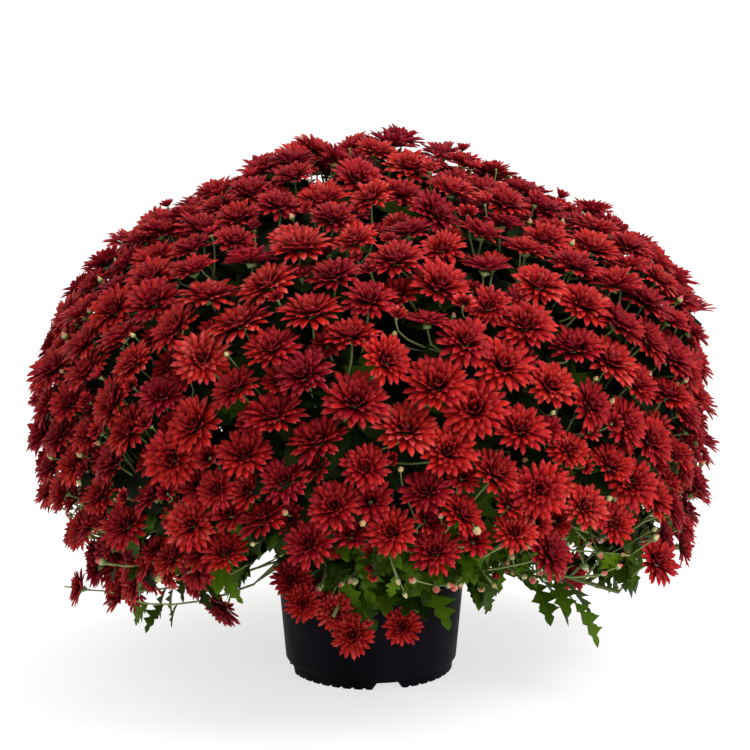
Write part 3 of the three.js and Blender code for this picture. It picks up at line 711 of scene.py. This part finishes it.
# %% Tubes
def tubes(lines, radii, sides, look):
    """Closed tubes about lines (k, n, 3). radii fit (k, n) and look fits (k, n, 4)."""
    count, steps = lines.shape[:2]
    radii = np.broadcast_to(radii, (count, steps))
    along = unit(np.gradient(lines, axis=1))
    a = TAU * np.arange(sides)[:, None] / sides
    u = square_to(along[:, 0])[0]
    rings = []
    for step in range(steps):
        u = crosswise(u, along[:, step])
        v = np.cross(along[:, step], u)
        ring = u[:, None] * np.cos(a) + v[:, None] * np.sin(a)
        rings.append(lines[:, step, None] + radii[:, step, None, None] * ring)
    points = np.stack(rings, axis=1).reshape(count, steps * sides, 3)
    fan = np.array([(0, k, k + 1) for k in range(1, sides - 1)])
    faces = np.concatenate([rings_joined(steps, sides), fan[:, ::-1], (steps - 1) * sides + fan])
    look = np.repeat(np.broadcast_to(look, (count, steps, 4)), sides, axis=1)
    return Batch(points, faces, look)


def lathe(found, height, girth, sides, look):
    """A turned body on the axis of each head. height and girth are shares of its radius."""
    centre, normal, radius = columns(found, "centre normal radius")
    rise, girth = (np.array(share) * radius[:, None] for share in (height, girth))
    return tubes(centre[:, None] + normal[:, None] * rise[..., None], girth, sides, look)


def curve(points, count):
    """A smooth line with count points through the given ones (k, 3): Catmull-Rom on their lengths."""
    gaps = size_of(np.diff(points, axis=0))
    at = np.concatenate([[0], np.cumsum(gaps)])
    t = np.linspace(0, at[-1], count)
    slopes = np.gradient(points, at, axis=0)
    i = np.clip(np.searchsorted(at, t) - 1, 0, len(gaps) - 1)
    h = gaps[i][:, None]
    x = ((t - at[i]) / gaps[i])[:, None]
    p0, p1, m0, m1 = points[i], points[i + 1], slopes[i] * h, slopes[i + 1] * h
    line = (2 * x**3 - 3 * x**2 + 1) * p0 + (x**3 - 2 * x**2 + x) * m0
    return line + (3 * x**2 - 2 * x**3) * p1 + (x**3 - x**2) * m1


def bowed(starts, ends, into, count, bow=0.35):
    """Lines (k, count, 3) from starts to ends that arrive along the unit vectors into."""
    middle = ends - into * size_of(ends - starts)[:, None] * bow
    t = np.linspace(0, 1, count)[None, :, None]
    a, b, c = (p[:, None] for p in (starts, middle, ends))
    return (1 - t) ** 2 * a + 2 * t * (1 - t) * b + t**2 * c


def eyes_of(found):
    """The button in the middle of each full head: its youngest florets, still closed, painted dark as
    painted shade of the middle.
    """
    return lathe(found, [-0.17, -0.02, 0.05], [0.10, 0.12, 0.04], 5, (0.25, 0, 0.5, 1))


def buds_of(found):
    """Round buds. Their look runs along from the lowest height to the highest."""
    height = np.array([-1.1, -0.8, -0.2, 0.45, 1.1, 1.6])
    look = look_of((height + 1.1) / 2.7, tone=column(found, "tone")[:, None])
    return lathe(found, height, [0.30, 0.74, 0.98, 0.86, 0.52, 0.10], 6, look)


def stalks_of(found, thick=1.15):
    """A stalk to each head, which swells into the cup that holds its petals."""
    centre, normal, radius, neck, root = columns(found, "centre normal radius neck root")
    radius = radius[:, None]
    mouth = centre - normal * radius * 0.19
    cup = neck[:, None] + (mouth - neck)[:, None] * np.array([[0.5], [1.0]])
    lines = np.concatenate([bowed(root, neck, normal, 5), cup], axis=1)
    girth = np.array([1.35, 1.2, 1.05, 1.0, 1.0, 2.6, 4.2])
    width = np.broadcast_to(girth * thick * MM, lines.shape[:2]).copy()
    width[:, 5:] *= np.clip(radius / (20 * MM), 0.5, 1.2)
    look = look_of(np.linspace(0.45, 1.0, 7), tone=draw(0, 1, len(found), 1))
    return tubes(lines, width, 4, look)


# %% [markdown]
# ## Leaves
#
# A chrysanthemum leaf is as long as two finger joints and cut into toothed lobes that point
# forward. It is folded a little at the midrib and droops at its tip. The outline is a list of
# half widths along the midrib, whose ups and downs are lobes and notches. Each is a cross-section
# of four points, as in a petal. The further inside a leaf stands, the plainer it may be.

# %% The leaf
# Shares of the length and of the half width, from neck to tip.
FINE_LEAF = [
    (0.0, 0.05), (0.05, 0.14), (0.10, 0.46), (0.15, 0.70), (0.19, 0.44), (0.25, 0.24), (0.32, 0.62),
    (0.37, 0.80), (0.42, 1.0), (0.47, 0.66), (0.52, 0.30), (0.58, 0.54), (0.63, 0.62), (0.67, 0.76),
    (0.72, 0.46), (0.77, 0.26), (0.84, 0.36), (0.91, 0.26),
]  # fmt: skip
SKIRT_LEAF = [
    (0.0, 0.05), (0.09, 0.30), (0.16, 0.66), (0.25, 0.24), (0.33, 0.62), (0.41, 1.0), (0.51, 0.32),
    (0.59, 0.54), (0.66, 0.72), (0.76, 0.26), (0.88, 0.34),
]  # fmt: skip
SPRIG_LEAF = [
    (0.0, 0.05), (0.12, 0.42), (0.21, 0.60), (0.29, 0.28), (0.38, 0.78), (0.46, 0.96), (0.56, 0.34),
    (0.68, 0.62), (0.79, 0.42),
]  # fmt: skip
LOBED_LEAF = [(0.0, 0.05), (0.15, 0.62), (0.27, 0.26), (0.42, 1.0), (0.57, 0.34), (0.70, 0.72)]
PLAIN_LEAF = [(0.0, 0.1), (0.3, 0.94), (0.66, 0.82)]
LEAF_SWEEP = 0.36  # how far lobes point forward
LEAF_WIDTH = 0.72
LEAF_THICKNESS = 0.6 * MM
RIM = (96 * MM, 105 * MM, 141 * MM)  # inner and outer radius and top of the zone round the rim
SOIL_TOP = 130 * MM
SQUEEZED = 9  # how much thinner a layer of points gets beside the rim
PRESSED = 90  # and on the soil


def clear_of_pot(points):
    """Points in the rim's zone squeezed out to its edge, and points in the soil laid on it."""
    inner, outer, top = RIM
    across = size_of(points[..., :2])[..., None]
    height = points[..., 2:]
    pushed = outer + (across - outer) / SQUEEZED
    in_rim = (height < top) & (across > inner) & (across < outer)
    flat = points[..., :2] * np.where(in_rim, pushed / across, 1.0)
    in_soil = (height < SOIL_TOP) & (across <= inner)
    height = np.where(in_soil, SOIL_TOP + (height - SOIL_TOP) / PRESSED, height)
    return np.concatenate([flat, height], axis=-1)


def leaf_batch(neck, forward, up, length, outline, droop=0.2, tone=None):
    """Closed leaves. Across a leaf the blade folds up; along it, it sinks by droop x squared."""
    s, half = np.array([*outline, (1.0, 0.0)]).T
    count, stations = len(neck), len(outline)
    length = length[:, None, None]
    left = np.cross(up, forward)
    wave = 1 + 0.14 * draw(-1, 1, count, 2, stations + 1)
    half_left, half_right = (half * wave[:, k] * LEAF_WIDTH / 2 for k in (0, 1))
    side = np.stack([half_left, 0 * half_left, -half_right, 0 * half_left], axis=-1) * length
    rise = 0.30 * np.abs(side) - droop * (s * s)[:, None] * length
    rise[:, :-1, 3] -= LEAF_THICKNESS
    ahead = s[:, None] * length + LEAF_SWEEP * np.abs(side) * (1 - s[:, None])
    grid = neck[:, None, None] + sum(
        x[..., None] * way[:, None, None] for x, way in ((ahead, forward), (side, left), (rise, up))
    )
    points = np.concatenate([grid[:, :-1].reshape(count, -1, 3), grid[:, -1, 1:2]], axis=1)
    last = 4 * (stations - 1)
    tip = [(last + k, last + (k + 1) % 4, last + 4) for k in range(4)]
    faces = np.concatenate([[(0, 3, 2), (0, 2, 1)], rings_joined(stations, 4), tip])
    under = np.arange(last) % 4 >= 2
    back = np.concatenate([[0.0, 0], under, under, [0, 0, 1, 1]])
    if tone is None:
        tone = draw(0, 1, count, 1)
    along = np.append(np.repeat(s[:-1], 4), 1.0)
    look = look_of(along, np.append(np.tile([1.0, 0, 1, 0], stations), 1.0), tone)
    sharp = np.append(np.tile([1, 0, 2, 0], stations), 3)
    return Batch(clear_of_pot(points), faces, look, back, sharp)


# %% [markdown]
# ## Later heads and buds
#
# Smaller heads that opened later, half-open ones and buds fill the gaps of the dome, from a
# little below its surface to a little above it, the widest gap first. Each stands between three
# neighbouring heads that leave room for it, and its stalk branches off that of the nearest. The
# dome flowers from the top, so most buds are low down. Across each gap that is still wide, a
# darker leaf from the nearest stalk is drawn, as painted shade in the gap.

# %% Find the gaps
centres, normals = columns(heads, "centre normal")
for head in heads:
    head["radius"] *= np.interp(head["centre"][2], *HEAD_GROWTH) * draw(0.93, 1.05)
    head["tone"] = random.beta(3.2, 2.2)
    head["open"] = draw(0.8, 1.0)
    head["normal"] = unit(head["normal"] + random.normal(0, 0.19, 3))
radii = column(heads, "radius")
owner = [name for name, found in sprays.items() for _ in found]
gap = size_of(centres[:, None] - centres[None])
near = np.argsort(gap, axis=1)[:, 1:8]
WIDEST_GAP = 90 * MM
TRIALS = 12  # places that are tried beside each head


def branch_off(parent, share):
    """A place on a head's stalk, at this share of the way to its neck."""
    head = heads[parent]
    line = bowed(head["root"][None], head["neck"][None], head["normal"][None], 11)[0]
    return line[int(round(10 * share))]


def new_head(centre, normal, radius, opened, tone, root, clear, owner=None):
    """A head as read_heads gives it, with its neck clear mm below its petals."""
    neck = centre - normal * (0.35 * radius + clear * MM)
    head = dict(centre=centre, normal=normal, radius=radius, neck=neck, root=root)
    return head | dict(open=opened, tone=tone, owner=owner)


def fill_gaps(sizes, sink, room, opened, most, crowd, low_down=0.0):
    """Heads in the gaps of the dome, sunk by some mm, with radii in mm. The widest gap comes first.

    room is the least distance to another, as a share of both radii together. low_down is how
    much rarer they get from 150 mm up to 400 mm above the floor.
    """
    count = len(heads) * TRIALS
    first = np.repeat(np.arange(len(heads)), TRIALS)
    other = np.argsort(draw(0, 1, count, 7), axis=1)[:, :2]
    trios = np.column_stack([first, near[first, other[:, 0]], near[first, other[:, 1]]])
    weights = random.dirichlet((3, 3, 3), count)
    normal = unit(np.einsum("nk,nkx->nx", weights, normals[trios]) + random.normal(0, 0.14, (count, 3)))
    centre = np.einsum("nk,nkx->nx", weights, centres[trios])
    centre -= normal * draw(*sink, count, 1) * MM
    radius = draw(*sizes, count) * MM
    widest = np.max([gap[trios[:, p], trios[:, q]] for p, q in ((0, 1), (0, 2), (1, 2))], axis=0)
    rare = draw(0, 1, count) < low_down * np.clip((centre[:, 2] - 0.15) / 0.25, 0, 1)
    space = np.where(rare | (widest > WIDEST_GAP), 0.0, np.inf)
    for place, reach in crowd:
        space = np.minimum(space, size_of(centre - place) / (reach + radius))
    made = []
    while len(made) < most and space.max() > room:
        pick = int(np.argmax(space))
        place, reach = centre[pick], radius[pick]
        parent = min(trios[pick], key=lambda n: size_of(centres[n] - place))
        opening, tone = draw(*opened), random.beta(2.5, 2.5)
        root = branch_off(parent, draw(0.2, 0.6))
        made.append(new_head(place, normal[pick], reach, opening, tone, root, 2, owner[parent]))
        crowd.append((place, reach))
        space = np.minimum(space, size_of(centre - place) / (reach + radius))
    return made


crowd = list(zip(centres, radii))
later = fill_gaps((17, 22.5), (2, 17), 0.47, (0.65, 1.0), 250, crowd)
young = fill_gaps((10, 16), (-13, 6), 0.52, (0.3, 0.75), 120, crowd, 0.25)
buds = fill_gaps((2.2, 3.4), (-10, 10), 0.75, (0.0, 0.0), 150, crowd, 0.75)
shades = fill_gaps((20, 24), (18, 38), 0.6, (0.0, 0.0), 180, crowd[: len(heads) + len(later)])
print("later heads:", len(later), "half open:", len(young), "buds:", len(buds), "shades:", len(shades))


# %% [markdown]
# ## The sprays
#
# A spray is an axis with a stalk to every head. Under the heads the stalks carry a thick layer
# of leaves that face outwards. Hardly any is seen whole, so their outline is plain. Above the low
# edge of the dome they are painted nearly black, as painted shade, and together they make the gaps
# between the heads almost black.

# %% Axis and inner leaves
INNER_LEAVES = 5  # for each head
INNER_LENGTH = (45, 64)
LOW_EDGE = 0.24  # below this height in metres inner leaves are seen, so they are small and lobed
LOW_LENGTH = (28, 42)


def axis_of(name, found):
    """The spray's axis: a tube along the line through the roots of its stalks."""
    skin = Skin(name)
    roots = column(found, "root")
    centre = roots.mean(0)
    axis = np.linalg.svd(roots - centre)[2][0]
    at = (skin.points - centre) @ axis
    at = at[size_of(skin.points - centre - at[:, None] * axis) < 6 * MM]
    line = centre + np.linspace(at.min(), at.max(), 6)[:, None] * axis
    return tubes(line[None], 2.2 * MM, 6, (0.45, 0, 0.4, 0))


def outward_leaves(place, facing, spread, lengths=INNER_LENGTH):
    """Leaves at these places whose upper faces look about the way of facing."""
    up = unit(facing + random.normal(0, spread, facing.shape))
    forward = crosswise(random.normal(0, 1, up.shape), up)
    low = place[:, 2] < LOW_EDGE
    made = []
    for chosen, span, outline, tones in (
        (low, LOW_LENGTH, LOBED_LEAF, (0.1, 0.8)),
        # Above LOW_EDGE the leaves get tones of 0 to 0.13, nearly black: painted shade inside the dome.
        (~low, lengths, PLAIN_LEAF, (0.0, 0.13)),
    ):
        count = int(chosen.sum())
        if count:
            length = draw(*span, count) * MM
            tone = draw(*tones, count, 1)
            neck = place[chosen] - forward[chosen] * 8 * MM
            made.append(leaf_batch(neck, forward[chosen], up[chosen], length, outline, tone=tone))
    return made


def inner_leaves(found):
    """Leaves on the stalks up to their last third. Long stalks carry more of them."""
    roots, necks, facing = columns(found, "root neck normal")
    span = size_of(necks - roots)
    pick = random.choice(len(found), INNER_LEAVES * len(found), p=span / span.sum())
    share = draw(0.05, 0.6, len(pick), 1)
    start = roots[pick] + (necks - roots)[pick] * share
    return outward_leaves(start, facing[pick], 0.3)


def crossing_leaves(found):
    """A leaf from the stalk beside each of these places, which reaches across it."""
    place, start, facing = columns(found, "centre root normal")
    forward = unit(place - start)
    length = np.clip(1.5 * size_of(place - start), 40 * MM, 70 * MM)
    # These leaves are darker than those of the skirt: painted shade in the gaps of the dome.
    tone = draw(0.05, 0.5, len(found), 1)
    return leaf_batch(start, forward, crosswise(facing, forward), length, LOBED_LEAF, tone=tone)


# %% Build the sprays
for name, found in sprays.items():
    mine, my_young, my_buds, across = (
        [h for h in group if h["owner"] == name] for group in (later, young, buds, shades)
    )
    blooms = [*petals_of(found), eyes_of(found)]
    green = [axis_of(name, found), stalks_of(found)]
    for group, rings, thick in ((mine, FEW_RINGS, 0.95), (my_young, YOUNG_RINGS, 0.85)):
        if group:
            blooms += petals_of(group, rings)
            green.append(stalks_of(group, thick))
    if my_buds:
        green.append(stalks_of(my_buds, 0.6))
        make_piece(name + "_buds", [buds_of(my_buds)], bud, "bloom")
    make_piece(name + "_heads", blooms, petal, "bloom", name)
    make_piece(name + "_stalks", green, stalk, "leaf", name)
    blades = inner_leaves(found + mine)
    if across:
        blades.append(crossing_leaves(across))
    make_piece(name + "_leaves", blades, leaf, "leaf")


# %% Build the leafy stems
def stem_parts(line, found):
    """A stem's tube with the stalks of its leaves."""
    look = look_of(np.linspace(0, 0.5, 26), tone=0.4)
    parts = [tubes(curve(line, 26)[None], np.linspace(3.4, 2.0, 26) * MM, 6, look)]
    if found:
        lines = bowed(*columns(found, "root neck forward"), 5, 0.4)
        parts.append(tubes(lines, 1.1 * MM, 5, (0.6, 0, 0.5, 0)))
    return parts


def hidden_leaves(line, count):
    """Leaves on a stem, inside the dome, that face away from a point in its middle."""
    place = curve(line, 41)[random.integers(12, 41, count)]
    facing = np.maximum(place - [0, 0, 0.22], [-1, -1, 0.001])
    return outward_leaves(place, unit(facing), 0.4, HIDDEN_LENGTH)


HIDDEN_LEAVES = 32  # for each stem
HIDDEN_LENGTH = (64, 92)
for name, (line, found) in stems.items():
    make_piece(name + "_wood", stem_parts(line, found), stalk, "leaf", name)
    blades = hidden_leaves(line, HIDDEN_LEAVES)
    if found:
        blades.append(leaf_batch(*columns(found, "neck forward up length"), FINE_LEAF))
    make_piece(name + "_blades", blades, leaf, "leaf", name)

# %% [markdown]
# ## The skirt
#
# Low down, the stems send out thin side shoots that did not reach the light. They run outwards
# over the rim of the pot, carry most of the leaves that are seen whole, and end in buds and small
# heads. Each shoot leaves a stem near its azimuth and arches to an end place under the dome; its
# leaves hang from it and face outwards. Two kinds are rarer: sprigs, which reach the edge of the
# dome with small leaves and many buds, and the fringe, whose heads hang lowest.

# %% Side shoots
SHOOTS = 130
SHOOT_START = (0.16, 0.5)  # share of the stem
SHOOT_LEAVES = 7
FRINGE_SHOOTS = 15
FRINGE_SIDE = (-3.05, -2.2)  # azimuths of the side where the dome hangs lowest
HANGING_SIDE = -2.0  # where a spray hangs over the rim, shoots stay behind it
SPRIGS = 44  # thin outer shoots with small leaves and many buds
SPRIG_SIDE = (-1.5, 0.15)  # mostly on the side where the blooms stop highest
random = np.random.default_rng(29)  # the skirt's own draws, so that the dome can change without it
stem_lines = [curve(line, 41) for line, _ in stems.values()]
stem_azimuths = np.array([math.atan2(*(line[-1][:2] - line[0][:2])[::-1]) for line in stem_lines])


def make_shoots(azimuth, reach, low, depth):
    """Lines (k, 9, 3) of shoots, the direction each ends in and the way out at its azimuth.

    They end at reach from the pot's axis and at heights from low to low + depth, all in mm.
    """
    count = len(azimuth)
    turn = np.abs((stem_azimuths[None] - azimuth[:, None] + math.pi) % TAU - math.pi)
    chosen = np.argmin(turn + draw(0, 0.5, *turn.shape), axis=1)
    at = (40 * draw(*SHOOT_START, count)).astype(int)
    start = np.array([stem_lines[c][i] for c, i in zip(chosen, at)])
    out = np.stack([np.cos(azimuth), np.sin(azimuth), 0 * azimuth], axis=1)
    height = low + draw(0, 1, count) ** 1.2 * depth
    end = (out * reach[:, None] + UP * height[:, None]) * MM
    into = unit(out * 0.8 + UP * draw(-0.7, 0.25, count, 1))
    into = unit(into + random.normal(0, 0.25, (count, 3)))
    return bowed(start, end, into, 9, 0.4), into, out


def leaves_on(lines, out, each, share, lengths, outline):
    """Leaves along lines (k, n, 3), with their faces towards out and their tips hanging."""
    at = draw(*share, len(lines), each) * (lines.shape[1] - 1)
    i = np.clip(at.astype(int), 0, lines.shape[1] - 2)
    row = np.arange(len(lines))[:, None]
    neck = lines[row, i] + (lines[row, i + 1] - lines[row, i]) * (at - i)[..., None]
    neck = neck.reshape(-1, 3)
    count = len(neck)
    out = np.repeat(out, each, axis=0)
    rise = draw(0.15, 0.9, count, 1)
    up = unit(out * draw(0.5, 1.0, count, 1) + UP * rise)
    up = unit(up + random.normal(0, 0.28, up.shape))
    aside = np.cross(up, UP) * draw(-1.2, 1.2, count, 1)
    forward = crosswise(aside + out * 0.2 - UP * draw(0, 1, count, 1), up)
    length = draw(*lengths, count) * MM
    return leaf_batch(neck, forward, up, length, outline, droop=0.3)


azimuth = TAU * (np.arange(SHOOTS) + draw(0, 1, SHOOTS)) / SHOOTS - math.pi
reach = 105 + 180 * draw(0, 1, SHOOTS) ** 0.8
reach = np.where(np.abs(azimuth - HANGING_SIDE) < 0.25, np.minimum(reach, 145), reach)
low = np.interp(reach, [105, 150, 285], [140, 136, 148])
low += 0.16 * np.maximum(reach - 150, 0) * np.cos(azimuth)
shoots, into, out = make_shoots(azimuth, reach, low, np.interp(reach, [105, 285], [60, 90]))
few = SPRIGS // 4
azimuth = np.append(draw(*SPRIG_SIDE, SPRIGS - few), draw(*FRINGE_SIDE, few))
reach = draw(278, 330, SPRIGS)
sprigs, sprig_into, sprig_out = make_shoots(azimuth, reach, np.full(SPRIGS, 160), 130)
azimuth = np.linspace(*FRINGE_SIDE, FRINGE_SHOOTS) + draw(-0.05, 0.05, FRINGE_SHOOTS)
reach = draw(250, 322, FRINGE_SHOOTS)
low = np.interp(azimuth, FRINGE_SIDE, [82, 158])
fringe, fringe_into, fringe_out = make_shoots(azimuth, reach, low, 40)


def shoot_tubes(lines):
    """The shoots' own thin stems."""
    look = look_of(np.linspace(0.4, 1, 9), tone=draw(0.3, 1, len(lines), 1))
    made = tubes(lines, np.linspace(1.5, 0.8, 9) * MM, 5, look)
    made.points = clear_of_pot(made.points)
    return made


skirt_wood = [shoot_tubes(shoots), shoot_tubes(sprigs), shoot_tubes(fringe)]
skirt_leaves = [
    leaves_on(shoots, out, SHOOT_LEAVES, (0.25, 0.98), (26, 40), SKIRT_LEAF),
    leaves_on(sprigs, sprig_out, 5, (0.55, 0.98), (15, 27), SPRIG_LEAF),
    leaves_on(fringe, fringe_out, 4, (0.3, 0.8), (24, 34), SKIRT_LEAF),
]
print("skirt leaves:", sum(len(batch.faces) for batch in skirt_leaves), "triangles")


# %% What the shoots end in
def ends_of(lines, into, each, spread, reach, sizes, opened):
    """Small heads at and near the ends of lines, each on its own thin stalk."""
    made = []
    for line, way in zip(lines, into):
        for k in range(each):
            root = line[-1 - random.integers(0, 4)] if k else line[-2]
            normal = unit(way + random.normal(0, spread, 3) * (k > 0))
            radius = draw(*sizes) * MM
            centre = root + normal * draw(*reach) * MM
            opening, tone = draw(*opened), draw(0.2, 1)
            made.append(new_head(centre, normal, radius, opening, tone, root, 1.5))
    return made


kind = random.permutation(SHOOTS)
with_buds, with_young, with_heads = np.split(kind, [int(0.45 * SHOOTS), int(0.9 * SHOOTS)])
end_buds = ends_of(shoots[with_buds], into[with_buds], 3, 0.6, (18, 42), (2.6, 4.2), (0, 0))
end_buds += ends_of(sprigs, sprig_into, 3, 0.8, (14, 38), (2.4, 4.2), (0, 0))
end_young = ends_of(shoots[with_young], into[with_young], 2, 0.4, (20, 38), (7, 11), (0.0, 0.45))
end_heads = ends_of(shoots[with_heads], into[with_heads], 1, 0.4, (16, 28), (15, 19), (0.8, 1.0))
end_heads += ends_of(fringe, fringe_into, 1, 0.3, (10, 16), (18, 22), (0.75, 1.0))
skirt_wood += [stalks_of(end_buds, 0.6), stalks_of(end_young, 0.8), stalks_of(end_heads, 0.95)]
make_piece("skirt_shoots", skirt_wood, stalk, "leaf")
make_piece("skirt_leaves", skirt_leaves, leaf, "leaf")
make_piece("skirt_buds", [buds_of(end_buds)], bud, "bloom")
make_piece("skirt_heads", petals_of(end_young, YOUNG_RINGS) + petals_of(end_heads), petal, "bloom")
print("triangles:", triangles())

# %% [markdown]
# ## The pot and the soil
#
# The pot is blown from thin black plastic: a band round the mouth, a wall that tapers a little,
# and a foot ring with drain notches. It is one profile turned about +Z; at the notches the lowest
# points of the foot ring are lifted. The soil is a turned disc whose top is stirred up a little.

# %% The pot
POT = [
    (0.0, 0.0), (22, 0.0), (26, 11), (78, 11), (79, 0), (85.3, 0), (86, 0.7), (86.3, 7.6), (86.6, 10.2),
    (87.4, 11.3), (89.4, 11.9), (90.1, 13), (100.2, 127.5), (100.6, 129.2), (103.2, 130.4), (103.5, 131.2),
    (103.5, 139.2), (102.9, 140), (100.2, 140), (99.4, 139.4), (88.2, 13.4), (0.0, 13),
]  # fmt: skip
FOOT = 86  # outer radius of the foot ring
FIRST_NOTCH = -math.pi / 2 + 0.205


def notches(angle, count, half, half_top, height):
    """Height of count equal trapezia round the foot ring, in mm; half widths are along its edge."""
    step = TAU / count
    off = FOOT * np.abs((angle - FIRST_NOTCH + step / 2) % step - step / 2)
    return height * np.clip((half - off) / (half - half_top), 0, 1)


def turned(profile, lift, sides):
    """A batch of one skin: the profile of (radius, height) points about +Z, its ends as poles."""
    angle = TAU * np.arange(sides) / sides
    inner = np.array(profile[1:-1])
    r, z = inner[:, :1] + 0 * angle, inner[:, 1:2] + lift(inner, angle)
    rings = np.stack([r * np.cos(angle), r * np.sin(angle), z], axis=-1) * MM
    foot, top = ([[0, 0, profile[end][1] * MM]] for end in (0, -1))
    points = np.concatenate([foot, rings.reshape(-1, 3), top])
    return Batch(points[None], poles_joined(len(inner), sides), np.zeros(4))


def pot_lift(inner, angle):
    """Only the foot ring's lowest points are lifted, at the drains and at the small ribs."""
    drains, ribs = notches(angle, 4, 16.5, 11.5, 7), notches(angle, 44, 2.2, 0.9, 1.6)
    lowest = (inner[:, 1:] < 1) & (inner[:, :1] > FOOT / 2)
    return np.where(lowest, np.maximum(drains, ribs), 0.0)


make_piece("pot_shell", [turned(POT, pot_lift, 352)], plastic, "pot", "pot")

# %% The soil
SOIL = [(0.0, 13.5), (86.9, 13.5), (96.6, 126)] + [(r, 128) for r in np.linspace(93, 3, 19)] + [(0.0, 128)]


def soil_lift(inner, angle):
    """Crumbs: a sum of turning waves, on the top face only."""
    r = inner[:, :1]
    waves = np.sin(r * 0.9 + 7 * angle) + np.sin(r * 0.37 - 13 * angle) + np.sin(r * 1.7 + 23 * angle)
    return np.where(inner[:, 1:2] > 127, 0.7 * waves, 0.0)


make_piece("soil_surface", [turned(SOIL, soil_lift, 120)], peat, "soil", "soil")
